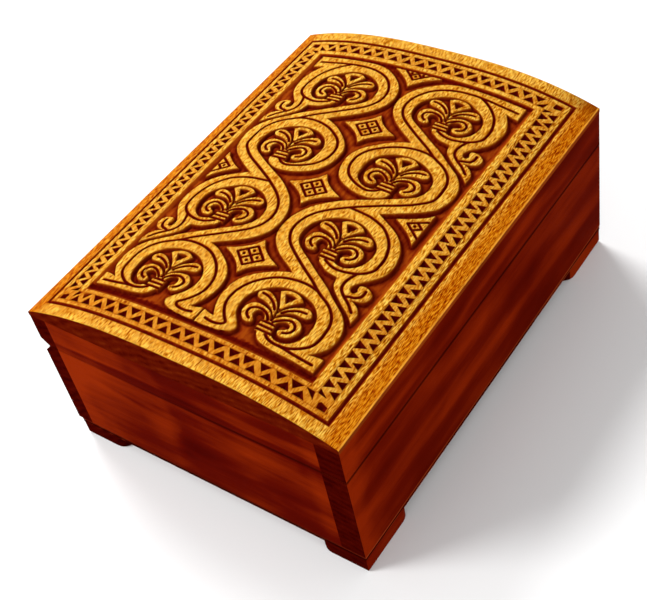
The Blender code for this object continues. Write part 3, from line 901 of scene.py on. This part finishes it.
class Nodes:
    """Small helper that builds a node tree from calls."""

    def __init__(self, name):
        self.mat = bpy.data.materials.new(name)
        self.mat.use_nodes = True
        self.tree = self.mat.node_tree
        self.tree.nodes.clear()
        self.out = self.tree.nodes.new("ShaderNodeOutputMaterial")
        self.bsdf = self.tree.nodes.new("ShaderNodeBsdfPrincipled")
        self.link(self.bsdf.outputs[0], self.out.inputs[0])
        self.coord = self.tree.nodes.new("ShaderNodeTexCoord").outputs["Object"]

    def link(self, a, b):
        self.tree.links.new(a, b)

    def put(self, socket, value):
        if isinstance(value, bpy.types.NodeSocket):
            self.link(value, socket)
        else:
            socket.default_value = value

    def mapping(self, scale, location=(0, 0, 0), rotation=(0, 0, 0), source=None):
        n = self.tree.nodes.new("ShaderNodeMapping")
        n.inputs["Scale"].default_value = scale
        n.inputs["Location"].default_value = location
        n.inputs["Rotation"].default_value = rotation
        self.link(source or self.coord, n.inputs["Vector"])
        return n.outputs[0]

    def noise(self, vector, scale=1.0, detail=4.0, roughness=0.55, distortion=0.0):
        n = self.tree.nodes.new("ShaderNodeTexNoise")
        self.link(vector, n.inputs["Vector"])
        n.inputs["Scale"].default_value = scale
        n.inputs["Detail"].default_value = detail
        n.inputs["Roughness"].default_value = roughness
        n.inputs["Distortion"].default_value = distortion
        return n.outputs["Fac"]

    def wave(self, vector, kind, scale, distortion, detail, detail_scale=1.0, profile="SIN", axis="X"):
        n = self.tree.nodes.new("ShaderNodeTexWave")
        n.wave_type = kind
        n.wave_profile = profile
        if kind == "BANDS":
            n.bands_direction = axis
        else:
            n.rings_direction = axis
        self.link(vector, n.inputs["Vector"])
        n.inputs["Scale"].default_value = scale
        n.inputs["Distortion"].default_value = distortion
        n.inputs["Detail"].default_value = detail
        n.inputs["Detail Scale"].default_value = detail_scale
        return n.outputs["Fac"]

    def math(self, kind, a, b=0.0, c=0.0, clamp=False):
        n = self.tree.nodes.new("ShaderNodeMath")
        n.operation = kind
        n.use_clamp = clamp
        self.put(n.inputs[0], a)
        self.put(n.inputs[1], b)
        self.put(n.inputs[2], c)
        return n.outputs[0]

    def ramp(self, fac, stops, interpolation="LINEAR"):
        n = self.tree.nodes.new("ShaderNodeValToRGB")
        n.color_ramp.interpolation = interpolation
        while len(n.color_ramp.elements) > 1:
            n.color_ramp.elements.remove(n.color_ramp.elements[-1])
        for k, (at, value) in enumerate(stops):
            el = n.color_ramp.elements[0] if k == 0 else n.color_ramp.elements.new(at)
            el.position = at
            el.color = value if not isinstance(value, (int, float)) else (value, value, value, 1)
        self.put(n.inputs[0], fac)
        return n.outputs[0]

    def mix(self, fac, a, b, blend="MIX"):
        n = self.tree.nodes.new("ShaderNodeMix")
        n.data_type = "RGBA"
        n.blend_type = blend
        self.put(n.inputs[0], fac)
        self.put(n.inputs[6], a)
        self.put(n.inputs[7], b)
        return n.outputs[2]

    def remap(self, value, a, b, c, d):
        n = self.tree.nodes.new("ShaderNodeMapRange")
        self.put(n.inputs[0], value)
        for k, v in enumerate((a, b, c, d), 1):
            n.inputs[k].default_value = v
        return n.outputs[0]

    def profile(self, value, stops):
        """A smooth one-dimensional curve through (millimetres, height) stops."""
        a, b = stops[0][0], stops[-1][0]
        fac = self.remap(value, a * MM, b * MM, 0.0, 1.0)
        grey = self.ramp(fac, [((at - a) / (b - a), 0.5 + v) for at, v in stops], "EASE")
        return self.math("SUBTRACT", grey, 0.5)

    def attribute(self, name):
        n = self.tree.nodes.new("ShaderNodeAttribute")
        n.attribute_name = name
        return n.outputs["Fac"]

    def split(self, source=None):
        n = self.tree.nodes.new("ShaderNodeSeparateXYZ")
        self.link(source or self.coord, n.inputs[0])
        return n.outputs

    def bump(self, height, strength, distance):
        n = self.tree.nodes.new("ShaderNodeBump")
        n.inputs["Strength"].default_value = strength
        n.inputs["Distance"].default_value = distance
        self.link(height, n.inputs["Height"])
        self.link(n.outputs[0], self.bsdf.inputs["Normal"])


def grain_scale(axis, along, across):
    """Mapping scale for features of these lengths in millimetres."""
    s = [1000.0 / across] * 3
    s["XYZ".index(axis)] = 1000.0 / along
    return tuple(s)


def side_wood(
    name, axis, seed, dark, mid, light, roughness=0.42, along=None, up=None, beads=False, seam=0.0, patches=(),
    wobble=1.0,
):
    """Stained board: soft figure, fine grain and pores along its length.
    along and up say how the figure lightens and darkens down the board's
    length and height, as (millimetres, amount). A patch is such a pair, of
    which the product counts, and a factor."""
    n = Nodes(name)
    off = (seed * 3.7, seed * 5.3, seed * 1.9)
    xyz = n.split()
    bands = n.noise(n.mapping(grain_scale(axis, 85, 17), off), 1.0, 2.0, 0.45, 0.9)
    cloud = n.noise(n.mapping(grain_scale(axis, 42, 24), off), 1.0, 2.5, 0.5, 0.6)
    streak = n.noise(n.mapping(grain_scale(axis, 45, 2.6), off), 1.0, 4.0, 0.55, 0.4)
    fine = n.noise(n.mapping(grain_scale(axis, 12, 0.6), off), 1.0, 3.0, 0.6)
    pores = n.noise(n.mapping(grain_scale(axis, 2.6, 0.25), off), 1.0, 1.0, 0.5)
    tone = n.math("MULTIPLY_ADD", bands, 0.5, n.math("MULTIPLY", cloud, 0.34))
    tone = n.math("MULTIPLY_ADD", streak, 0.14, tone)
    tone = n.math("MULTIPLY_ADD", fine, 0.12, tone)
    wander = n.noise(n.mapping(grain_scale(axis, 60, 40), off), 1.0, 2.0, 0.5)
    if along:
        place = n.math("MULTIPLY_ADD", n.math("SUBTRACT", cloud, 0.5), 0.03 * wobble, xyz["XYZ".index(axis)])
        tone = n.math("ADD", tone, n.profile(place, along))
    if up:
        place = n.math("MULTIPLY_ADD", n.math("SUBTRACT", wander, 0.5), 0.016 * wobble, xyz[2])
        tone = n.math("ADD", tone, n.profile(place, up))
    for run, rise, factor in patches:
        here = n.math("MULTIPLY_ADD", n.math("SUBTRACT", cloud, 0.5), 0.03 * wobble, xyz["XYZ".index(axis)])
        high = n.math("MULTIPLY_ADD", n.math("SUBTRACT", wander, 0.5), 0.016 * wobble, xyz[2])
        patch = n.math("MULTIPLY", n.profile(here, run), n.profile(high, rise))
        tone = n.math("MULTIPLY_ADD", patch, factor, tone)
    colour = n.ramp(tone, [(0.34, dark), (0.53, mid), (0.76, light)])
    spots = n.remap(pores, 0.62, 0.74, 0.0, 1.0)
    colour = n.mix(n.math("MULTIPLY", spots, 0.22), colour, dark)
    if beads:
        colour = bead_highlight_and_shade(n, colour, xyz[2], light)
    if seam:
        colour = seam_shade(n, colour, xyz[2], seam, xyz[1] if axis == "Y" else None)
    n.link(colour, n.bsdf.inputs["Base Color"])
    n.link(n.remap(fine, 0.3, 0.7, roughness - 0.06, roughness + 0.1), n.bsdf.inputs["Roughness"])
    n.bsdf.inputs["Specular IOR Level"].default_value = 0.0005
    height = n.math("SUBTRACT", n.math("MULTIPLY", fine, 0.6), n.math("MULTIPLY", spots, 0.5))
    n.bump(height, 0.2, 0.0001)
    return n.mat


def seam_shade(n, colour, z, amount, y=None):
    """Painted shade in and under the joint between lid and body."""
    near = n.remap(n.math("ABSOLUTE", n.math("SUBTRACT", z, 0.0592)), 0.0004, 0.0011, amount, 0.0)
    if y is not None:
        near = n.math("MULTIPLY", near, n.remap(y, 0.030, -0.020, 0.15, 1.0))
    return n.mix(near, colour, lin(34, 2, 0))


def bead_highlight_and_shade(n, colour, z, light):
    """The bottom board's edge: painted highlight on the bead, painted shade in its quirks."""
    bead = n.math("ABSOLUTE", n.math("SUBTRACT", z, 0.0097))
    colour = n.mix(n.remap(bead, 0.0003, 0.0005, 0.45, 0.0), colour, light)
    for quirk, half in ((0.0088, 0.00035), (0.0106, 0.0003)):
        near = n.math("ABSOLUTE", n.math("SUBTRACT", z, quirk))
        colour = n.mix(n.remap(near, half, half + 0.00015, 0.85, 0.0), colour, lin(24, 1, 0))
    return colour


def end_wood(name, seed, dark, mid, light, roughness=0.5, beads=False):
    """End grain: faint growth rings and pores seen square across the fibres."""
    n = Nodes(name)
    off = (seed * 3.7, seed * 5.3, seed * 1.9)
    rings = n.wave(
        n.mapping((0.0, 1000 / 14.0, 1000 / 11.0), (0, 3.0 + seed, 9.0)),
        "RINGS", 1.0, 5.0, 3.0, 0.8, "SIN", "X",
    )
    mottle = n.noise(n.mapping((0.0, 1000 / 7, 1000 / 4), off), 1.0, 5.0, 0.62)
    rays = n.noise(n.mapping((0.0, 1000 / 0.5, 1000 / 3.5), off), 1.0, 2.0, 0.5)
    pores = n.noise(n.mapping((0.0, 1000 / 0.3, 1000 / 0.3), off), 1.0, 1.0, 0.5)
    tone = n.math("MULTIPLY_ADD", rings, 0.12, n.math("MULTIPLY", mottle, 0.66))
    tone = n.math("MULTIPLY_ADD", rays, 0.16, tone)
    colour = n.ramp(tone, [(0.32, dark), (0.48, mid), (0.68, light)], "EASE")
    spots = n.remap(pores, 0.62, 0.72, 0.0, 1.0)
    colour = n.mix(n.math("MULTIPLY", spots, 0.3), colour, dark)
    z = n.split()[2]
    if beads:
        colour = bead_highlight_and_shade(n, colour, z, light)
    colour = seam_shade(n, colour, z, 0.3)
    n.link(colour, n.bsdf.inputs["Base Color"])
    n.link(n.remap(mottle, 0.3, 0.7, roughness - 0.05, roughness + 0.1), n.bsdf.inputs["Roughness"])
    n.bsdf.inputs["Specular IOR Level"].default_value = 0.0
    n.bump(n.math("SUBTRACT", 1.0, spots), 0.3, 0.0001)
    return n.mat


def top_wood(name):
    """Lacquered top board: honey wood, dark stain left in the carving with painted shade in it, and painted
    highlights on the raised edges.
    """
    n = Nodes(name)
    stain_and_shading = n.attribute("stain_and_shading")
    x, y, z = n.split()
    bands = n.noise(n.mapping(grain_scale("X", 90, 9), (2.1, 0.4, 7.7)), 1.0, 3.0, 0.5, 0.5)
    streak = n.noise(n.mapping(grain_scale("X", 9, 0.42), (5.1, 2.4, 3.7)), 1.0, 3.0, 0.65, 0.0)
    fine = n.noise(n.mapping(grain_scale("X", 2.2, 0.22), (1.1, 8.4, 3.1)), 1.0, 0.5, 0.6)
    pores = n.noise(n.mapping(grain_scale("X", 2.2, 0.42), (6.1, 3.4, 1.1)), 1.0, 1.0, 0.5)
    tone = n.math("MULTIPLY_ADD", bands, 0.3, n.math("MULTIPLY", streak, 0.35))
    tone = n.math("MULTIPLY_ADD", fine, 2.5, tone)
    tone = n.remap(tone, 1.18, 1.92, 0.0, 1.0)
    honey = n.ramp(
        tone,
        [(0.0, lin(132, 52, 1, LIT)), (0.2, lin(172, 90, 4, LIT)), (0.4, lin(214, 130, 17, LIT)),
         (0.56, lin(238, 159, 34, LIT)), (0.78, lin(253, 190, 62, LIT)), (1.0, lin(255, 218, 100, LIT))],
    )
    spots = n.remap(pores, 0.58, 0.7, 0.0, 1.0)
    honey = n.mix(n.math("MULTIPLY", spots, 0.5), honey, lin(146, 68, 4, LIT))
    browned = n.ramp(
        tone,
        [(0.0, lin(128, 34, 0, LIT)), (0.2, lin(156, 56, 1, LIT)), (0.4, lin(182, 82, 2, LIT)),
         (0.56, lin(202, 103, 4, LIT)), (0.78, lin(222, 130, 12, LIT)), (1.0, lin(242, 160, 34, LIT))],
    )
    # more stain was left on the margins outside the frame line
    mottle = n.noise(n.mapping(grain_scale("X", 7, 1.5), (3.3, 1.2, 4.1)), 1.0, 4.0, 0.6)
    uneven = n.math("MULTIPLY_ADD", n.math("SUBTRACT", mottle, 0.5), 0.5, 1.0)
    front = n.math("MULTIPLY", n.remap(y, -0.0680, -0.0720, 0.0, 1.1), uneven, clamp=True)
    honey = n.mix(front, honey, browned)
    back = n.math("MULTIPLY", n.remap(y, 0.0680, 0.0710, 0.0, 0.95), uneven, clamp=True)
    honey = n.mix(back, honey, browned)
    # painted shade browns the near end, most next to the frame groove, where the groove's shadow falls
    near_end_shade = n.profile(
        x, ((-101.5, 0.0), (-99.8, 0.0), (-98, 0.16), (-96.4, 0.28), (-95, 0.42), (-93, 0.48), (-85.2, 0.46),
            (-84.2, 0.0), (-80, 0.0)),
    )
    near_end_shade = n.math("MULTIPLY", near_end_shade, 1.25)
    honey = n.mix(n.math("MULTIPLY", near_end_shade, uneven, clamp=True), honey, browned)
    corner = n.math("MULTIPLY", n.remap(x, 0.0890, 0.0990, 0.0, 0.6), n.remap(y, -0.0560, -0.0700, 0.0, 1.0))
    honey = n.mix(corner, honey, lin(124, 52, 2, LIT))
    # painted highlight along the front arris, which handling has also worn light
    wear_and_highlight_patches = n.noise(n.mapping(grain_scale("X", 9, 9), (4.3, 2.2, 1.1)), 1.0, 3.0, 0.6)
    arris = n.math("MULTIPLY", n.remap(y, -0.07525, -0.0756, 0.0, 1.0), n.remap(wear_and_highlight_patches, 0.35, 0.65, 0.35, 0.95))
    honey = n.mix(arris, honey, lin(250, 172, 56, 0.95))
    amount = n.math("MULTIPLY_ADD", n.math("SUBTRACT", mottle, 0.5), 0.7, stain_and_shading)
    amount = n.math("MULTIPLY", amount, n.remap(stain_and_shading, 0.02, 0.2, 0.0, 0.8), clamp=True)
    low = n.ramp(
        amount,
        [(0.0, lin(204, 120, 20, LIT)), (0.2, lin(184, 96, 15, LIT)), (0.36, lin(164, 72, 11, LIT)),
         (0.56, lin(129, 39, 6, LIT)), (0.8, lin(92, 10, 2, LIT)), (1.0, lin(62, 2, 2, LIT))],
    )
    # painted highlight on the raised edges, where the attribute is below 0; it also stands for wear
    honey = n.mix(n.remap(stain_and_shading, -0.03, -0.25, 0.0, 0.4), honey, lin(255, 212, 98, LIT))
    colour = n.mix(n.remap(stain_and_shading, 0.03, 0.3, 0.0, 1.0), honey, low)
    n.link(colour, n.bsdf.inputs["Base Color"])
    n.link(n.remap(stain_and_shading, 0.0, 0.5, 0.38, 0.7), n.bsdf.inputs["Roughness"])
    n.bsdf.inputs["Specular IOR Level"].default_value = 0.0015
    height = n.math("SUBTRACT", n.math("MULTIPLY", fine, 0.7), n.math("MULTIPLY", spots, 0.6))
    n.bump(height, 0.08, 0.0001)
    return n.mat


def felt(name):
    n = Nodes(name)
    fibre = n.noise(n.mapping((2600, 2600, 900)), 1.0, 4.0, 0.7, 1.4)
    cloud = n.noise(n.mapping((60, 60, 60)), 1.0, 3.0, 0.5)
    tone = n.math("MULTIPLY_ADD", fibre, 0.6, n.math("MULTIPLY", cloud, 0.4))
    n.link(n.ramp(tone, [(0.3, lin(58, 8, 12)), (0.7, lin(112, 22, 28))]), n.bsdf.inputs["Base Color"])
    n.bsdf.inputs["Roughness"].default_value = 0.95
    n.bsdf.inputs["Specular IOR Level"].default_value = 0.02
    n.bsdf.inputs["Sheen Weight"].default_value = 0.12
    n.bsdf.inputs["Sheen Tint"].default_value = (0.5, 0.06, 0.08, 1.0)
    n.bump(fibre, 0.6, 0.0002)
    return n.mat


def brass(name):
    n = Nodes(name)
    tarnish = n.noise(n.mapping((260, 260, 260)), 1.0, 4.0, 0.6)
    brush = n.noise(n.mapping((180, 5200, 5200)), 1.0, 2.0, 0.5)
    n.link(n.ramp(tarnish, [(0.3, lin(150, 112, 52)), (0.65, lin(214, 170, 92))]), n.bsdf.inputs["Base Color"])
    n.bsdf.inputs["Metallic"].default_value = 1.0
    rough = n.math("MULTIPLY_ADD", brush, 0.12, n.remap(tarnish, 0.3, 0.7, 0.32, 0.2))
    n.link(rough, n.bsdf.inputs["Roughness"])
    n.bump(brush, 0.15, 0.00005)
    return n.mat


def reds(k):
    return lin(80, 7, 0, k), lin(98, 15, 1, k), lin(134, 34, 3, k)


# how the figure of the boards runs, in millimetres from the box's middle and
# from the table
# the front's lighter stops at the near corner are a painted sheen
FRONT_ALONG = ((-101.5, 0.24), (-96.5, 0.2), (-88, 0.05), (-78, 0.0), (0, -0.02), (101.5, 0.0))
FRONT_UP = (
    (8, -0.05), (15, -0.02), (22, -0.09), (30, 0.07), (40, -0.09), (48, 0.07),
    (56, -0.01), (61, -0.07), (66, 0.07), (72, -0.09), (78, -0.04),
)
END_ALONG = (
    (-76, 0.08), (-62, 0.12), (-56, 0.06), (-45, 0.04), (-30, 0.06), (-15, 0.0), (0, -0.06), (7, -0.05),
    (14, 0.05), (26, 0.05), (40, 0.08), (54, 0.11), (64, 0.19), (76, 0.2),
)
END_UP = (
    (8, -0.06), (14, -0.05), (22, -0.02), (32, 0.02), (50, 0.02), (56.5, -0.02), (59, -0.2), (62, -0.22),
    (64.5, -0.03), (69, 0.0), (75, -0.02), (78, -0.06),
)
RIGHT_ALONG = ((-76, 0.06), (-50, 0.1), (-20, 0.04), (10, 0.09), (45, 0.03), (76, 0.08))
RIGHT_UP = (
    (8, -0.04), (18, 0.03), (28, 0.06), (40, -0.01), (52, 0.04), (60, -0.08), (67, 0.02), (78, -0.03),
)
# where the figure of the lid and of the body differ
END_PATCHES = (
    (((-76, 0.3), (12, 0.3), (24, 0.0), (76, 0.0)), ((8, 0.0), (61, 0.0), (64, 0.3), (78, 0.3)), -0.4),
    (((-76, 0.0), (22, 0.0), (34, 0.3), (58, 0.3), (68, 0.0), (76, 0.0)), ((8, 0.0), (62, 0.0), (65, 0.3), (78, 0.3)), 0.7),
    (((-76, 0.0), (6, 0.0), (9, 0.4), (16, 0.4), (28, 0.0), (76, 0.0)), ((8, 0.0), (18, 0.0), (26, 0.4), (38, 0.4), (52, 0.0), (78, 0.0)), 0.4),
    (((-76, 0.0), (-22, 0.0), (-10, 0.3), (4, 0.3), (8, 0.0), (76, 0.0)), ((8, 0.1), (20, 0.3), (40, 0.3), (50, 0.0), (78, 0.0)), -0.5),
)

front_wood = side_wood("stained_wood_long", "X", 1.0, *reds(LIT_FRONT), along=FRONT_ALONG, up=FRONT_UP, seam=0.7)
back_wood = side_wood("stained_wood_back", "X", 2.6, *reds(LIT_FRONT), up=FRONT_UP, seam=0.7)
across_wood = side_wood(
    "stained_wood_ends", "Y", 4.3, lin(70, 2, 0, LIT_END), lin(97, 11, 1, LIT_END), lin(150, 42, 4, LIT_END),
    along=END_ALONG, up=END_UP, seam=0.6, patches=END_PATCHES,
    wobble=0.4,
)
right_wood = side_wood(
    "stained_wood_right", "Y", 5.7, lin(70, 2, 0, LIT_END), lin(97, 11, 1, LIT_END), lin(144, 38, 3, LIT_END),
    along=RIGHT_ALONG, up=RIGHT_UP, seam=0.6,
)
bottom_wood = side_wood("stained_wood_bottom", "X", 6.1, lin(74, 7, 1, LIT_FRONT), lin(98, 16, 2, LIT_FRONT), lin(176, 72, 34, LIT_FRONT), 0.5, beads=True)
bottom_end = end_wood("end_grain_bottom", 2.0, lin(52, 1, 1, 0.74), lin(68, 5, 1, 0.74), lin(112, 36, 18, 0.74), beads=True)
sole_wood = side_wood("stained_wood_base", "X", 6.6, lin(70, 5, 0), lin(92, 13, 1), lin(122, 30, 4), 0.5)
foot_wood = side_wood("stained_wood_feet", "X", 8.2, lin(76, 5, 1), lin(104, 16, 2), lin(136, 38, 7), 0.5, along=((-101.5, 0.01), (-60, -0.03), (60, 0.08), (84, 0.16), (101.5, 0.04)))
under_wood = side_wood("stained_wood_underside", "X", 7.4, lin(84, 26, 5), lin(128, 50, 12), lin(166, 80, 22), 0.5)
end_grain = end_wood("end_grain", 1.0, lin(52, 1, 1, 0.74), lin(68, 5, 1, 0.74), lin(84, 12, 3, 0.74))
top_end_grain = end_wood("end_grain_top", 3.0, lin(78, 8, 1, 0.68), lin(97, 19, 3, 0.68), lin(116, 34, 6, 0.68))
top_material = top_wood("lacquered_carving")
felt_material = felt("felt")
brass_material = brass("brass")


# =====================================================================
# Pieces
# =====================================================================
def new_object(name, bm, materials):
    bmesh.ops.recalc_face_normals(bm, faces=bm.faces)
    mesh = bpy.data.meshes.new(name)
    bm.to_mesh(mesh)
    bm.free()
    obj = bpy.data.objects.new(name, mesh)
    bpy.context.scene.collection.objects.link(obj)
    for m in materials:
        mesh.materials.append(m)
    return obj


def finish_board(obj, end_axis, turned=0.8):
    """Give the faces square to the grain the end-grain material, and shade
    smoothly only the rounded arrises."""
    k = "XYZ".index(end_axis)
    for p in obj.data.polygons:
        p.material_index = 1 if abs(p.normal[k]) > turned else 0
        flat = max(abs(c) for c in p.normal) > 0.9999 or p.area > 60 * MM * MM
        p.use_smooth = not flat


def bevel(bm, test, radius, segments=4):
    edges = [e for e in bm.edges if test(e.verts[0].co / MM, e.verts[1].co / MM)]
    if edges:
        bmesh.ops.bevel(
            bm, geom=edges, offset=radius * MM, offset_type="OFFSET", segments=segments,
            profile=0.5, affect="EDGES", clamp_overlap=True,
        )


def board(name, low, high, materials, grain, body, nodes, rounds, radius=0.45, seam=None):
    """A board whose named arrises are rounded. rounds picks an edge from the
    two points at its ends, in millimetres, and seam one that gets a fine round."""
    bm = bmesh.new()
    x0, y0, z0 = low
    x1, y1, z1 = high
    v = [
        bm.verts.new(Vector(p) * MM)
        for p in (
            (x0, y0, z0), (x1, y0, z0), (x1, y1, z0), (x0, y1, z0),
            (x0, y0, z1), (x1, y0, z1), (x1, y1, z1), (x0, y1, z1),
        )
    ]
    for f in ((0, 3, 2, 1), (4, 5, 6, 7), (0, 1, 5, 4), (1, 2, 6, 5), (2, 3, 7, 6), (3, 0, 4, 7)):
        bm.faces.new([v[k] for k in f])
    if seam:
        bevel(bm, seam, 0.15, 2)
    bevel(bm, rounds, radius)
    obj = new_object(name, bm, materials)
    finish_board(obj, grain)
    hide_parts(*nodes)
    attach(obj, body)
    return obj


def on(value, *coords):
    return all(abs(c - value) < 1e-4 for c in coords)


def long_board_rounds(y_out):
    """The two vertical corners of a long board."""
    def pick(a, b):
        upright = abs(a.z - b.z) > 5 and abs(a.x) > 101 and abs(b.x) > 101
        return upright and abs(a.y - y_out) < 0.3 and abs(b.y - y_out) < 0.3
    return pick


def seam_round(z, test):
    return lambda a, b: on(z, a.z, b.z) and test(a, b)


def outer_long(a, b):
    return on(-76, a.y, b.y) or (on(HALF_L, abs(a.x), abs(b.x)))


# long boards
board(
    "front_board", (-HALF_L, -76, 10.58), (HALF_L, -65, 59.08), (front_wood, end_grain), "X",
    "base", ["body_front_board"], long_board_rounds(-76),
    seam=seam_round(59.08, outer_long),
)
board(
    "front_lid_rail", (-HALF_L, -76, 59.32), (HALF_L, -65, 76.31), (front_wood, end_grain), "X",
    "lid", ["lid_front_rail"], long_board_rounds(-76),
    seam=seam_round(59.32, outer_long),
)
# end boards between them
for side, sx in (("left", -1), ("right", 1)):
    xo, xi = sx * HALF_L, sx * 92.5
    wood = across_wood if side == "left" else right_wood
    lo, hi = min(xo, xi), max(xo, xi)
    board(
        f"{side}_end_board", (lo, -64.97, 10.58), (hi, 67.47, 59.12), (wood, end_grain), "Y",
        "base", [f"body_{side}_end_board"], lambda a, b: False,
    )
    board(
        f"{side}_lid_end_rail", (lo, -64.97, 59.28), (hi, 67.47, 76.31), (wood, end_grain), "Y",
        "lid", [f"lid_{side}_end_rail"], lambda a, b: False,
    )


def from_cad(node, name, materials, grain, body, rounds, radius):
    """A new mesh from a CAD node's shape, with some arrises rounded."""
    bm = bmesh.new()
    bm.from_mesh(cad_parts[node].data)
    bmesh.ops.remove_doubles(bm, verts=bm.verts, dist=1e-6)
    bmesh.ops.dissolve_limit(bm, angle_limit=math.radians(0.5), verts=bm.verts, edges=bm.edges)
    bevel(bm, rounds, radius)
    obj = new_object(name, bm, materials)
    finish_board(obj, grain)
    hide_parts(node)
    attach(obj, body)
    return obj


def back_corners(a, b):
    return on(76, a.y, b.y) and (on(HALF_L, a.x, b.x) or on(-HALF_L, a.x, b.x))


from_cad("body_back_board", "back_board", (back_wood, end_grain), "X", "base", back_corners, 0.45)
from_cad("lid_back_rail", "back_lid_rail", (back_wood, end_grain), "X", "lid", back_corners, 0.45)

# bottom board: its edge shows under the walls as a fine bead
EDGE = (
    (7.44, 0.4), (7.56, 0.12), (7.75, 0.0), (8.5, 0.0), (8.7, 0.12), (8.8, 0.5), (8.9, 0.5),
    (9.02, 0.14), (9.25, 0.0), (10.05, 0.0), (10.25, 0.1), (10.38, 0.35), (10.54, 0.8),
)


def bottom_panel(name, rect):
    x0, x1, y0, y1 = rect
    bm = bmesh.new()
    rings = [
        [
            bm.verts.new(Vector(p) * MM)
            for p in ((x0 + t, y0 + t, z), (x1 - t, y0 + t, z), (x1 - t, y1 - t, z), (x0 + t, y1 - t, z))
        ]
        for z, t in EDGE
    ]
    for low, high in zip(rings, rings[1:]):
        for k in range(4):
            bm.faces.new((low[k], low[k - 3], high[k - 3], high[k]))
    bm.faces.new(rings[0])
    bm.faces.new(rings[-1])
    obj = new_object(name, bm, (bottom_wood, bottom_end, sole_wood))
    for p in obj.data.polygons:
        if abs(p.normal.z) > 0.999:
            p.material_index = 2
        elif abs(p.normal.x) > abs(p.normal.y) + 1e-3:
            p.material_index = 1
    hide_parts("bottom_board")
    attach(obj, "base")
    return obj


bottom_panel("bottom_panel", (-101.3, 101.3, -75.8, 74.0))


def foot(name, node):
    low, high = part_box(node)
    bm = bmesh.new()
    bm.from_mesh(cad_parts[node].data)
    bmesh.ops.remove_doubles(bm, verts=bm.verts, dist=1e-6)
    bmesh.ops.dissolve_limit(bm, angle_limit=math.radians(0.5), verts=bm.verts, edges=bm.edges)
    edges = [e for e in bm.edges if on(0, e.verts[0].co.z / MM, e.verts[1].co.z / MM)]
    bmesh.ops.bevel(
        bm, geom=edges, offset=0.4 * MM, offset_type="OFFSET", segments=3, profile=0.5,
        affect="EDGES", clamp_overlap=True,
    )
    obj = new_object(name, bm, (foot_wood, end_grain))
    finish_board(obj, "X", 0.45)
    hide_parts(node)
    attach(obj, "base")
    return obj


for a in ("front", "back"):
    for b in ("left", "right"):
        foot(f"corner_foot_{a}_{b}", f"foot_{a}_{b}")

# the carved top
panel = carved_panel("carved_top")
for m in (top_material, top_end_grain, under_wood):
    panel.data.materials.append(m)
for p in panel.data.polygons:
    c = p.center / MM
    if abs(p.normal.x) > 0.6 and abs(c.x) > 101.3:
        p.material_index = 1
    elif p.normal.z < -0.5 or (abs(p.normal.y) > 0.8 and abs(c.y) > 75.9):
        p.material_index = 2
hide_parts("carved_top_panel")
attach(panel, "lid")

# felt
low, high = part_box("floor_lining")
board(
    "felt_lining", tuple(low / MM), tuple(high / MM), (felt_material, felt_material), "X",
    "base", ["floor_lining"], lambda a, b: on(max(a.z, b.z), a.z, b.z) and a.z > 11, 0.4,
)

# brass: the hinge parts keep their CAD shape
for node_name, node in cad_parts.items():
    if node_name.startswith("hinge_"):
        node.data.materials.clear()
        node.data.materials.append(brass_material)
        node.data.shade_smooth()
        node.data.set_sharp_from_angle(angle=math.radians(30))

# =====================================================================
# Camera, floor and light
# =====================================================================
right = Vector((0.5548009514, -0.8159364565, -0.1626148923))
down = Vector((-0.6584885782, -0.3111746762, -0.6852467535))
ahead = Vector((0.5085161715, 0.4872556000, -0.7099248436))
camera_data = bpy.data.cameras.new("camera")
camera_data.sensor_fit = "HORIZONTAL"
camera_data.sensor_width = 36.0
camera_data.lens = 1225.78 / 647 * 36.0
camera_data.clip_start, camera_data.clip_end = 0.02, 50
camera = bpy.data.objects.new("camera", camera_data)
bpy.context.scene.collection.objects.link(camera)
camera.matrix_world = Matrix(
    [(right[k], -down[k], -ahead[k], (-0.28314, -0.25986, 0.41213)[k]) for k in range(3)]
    + [(0, 0, 0, 1)]
)
bpy.context.scene.camera = camera

bm = bmesh.new()
bmesh.ops.create_grid(bm, x_segments=1, y_segments=1, size=6.0)
floor_mat = Nodes("pale_floor")
floor_mat.link(
    floor_mat.ramp(floor_mat.noise(floor_mat.mapping((3, 3, 3)), 1.0, 2.0), [(0.3, (0.84, 0.84, 0.84, 1)), (0.7, (0.86, 0.86, 0.86, 1))]),
    floor_mat.bsdf.inputs["Base Color"],
)
floor_mat.bsdf.inputs["Roughness"].default_value = 0.9
floor_mat.bsdf.inputs["Specular IOR Level"].default_value = 0.1
floor = new_object("floor", bm, (floor_mat.mat,))
floor.location.z = -0.0002
floor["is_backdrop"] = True

world = bpy.data.worlds.new("studio")
bpy.context.scene.world = world
world.use_nodes = True
world.node_tree.nodes["Background"].inputs[0].default_value = (1.0, 1.0, 1.0, 1)
world.node_tree.nodes["Background"].inputs[1].default_value = 0.6


def area(name, position, target, size, power, colour=(1, 1, 1)):
    data = bpy.data.lights.new(name, "AREA")
    data.shape = "DISK"
    data.size = size
    data.energy = power
    data.color = colour
    obj = bpy.data.objects.new(name, data)
    bpy.context.scene.collection.objects.link(obj)
    obj.location = position
    obj.rotation_mode = "QUATERNION"
    obj.rotation_quaternion = (Vector(target) - Vector(position)).to_track_quat("-Z", "Y")
    return obj


area("key", (-1.35, 1.35, 1.6), (0, 0, 0.05), 0.9, 42.0)
area("back", (0.9, 1.7, 1.8), (0, 0, 0.05), 1.3, 62.0)
area("fill", (-0.5, -0.9, 0.7), (0, 0, 0.05), 0.8, 3.0)

scene = bpy.context.scene
scene.view_settings.view_transform = "Standard"
scene.view_settings.look = "None"
scene.view_settings.exposure = 0.0
scene.view_settings.gamma = 1.0

low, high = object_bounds()
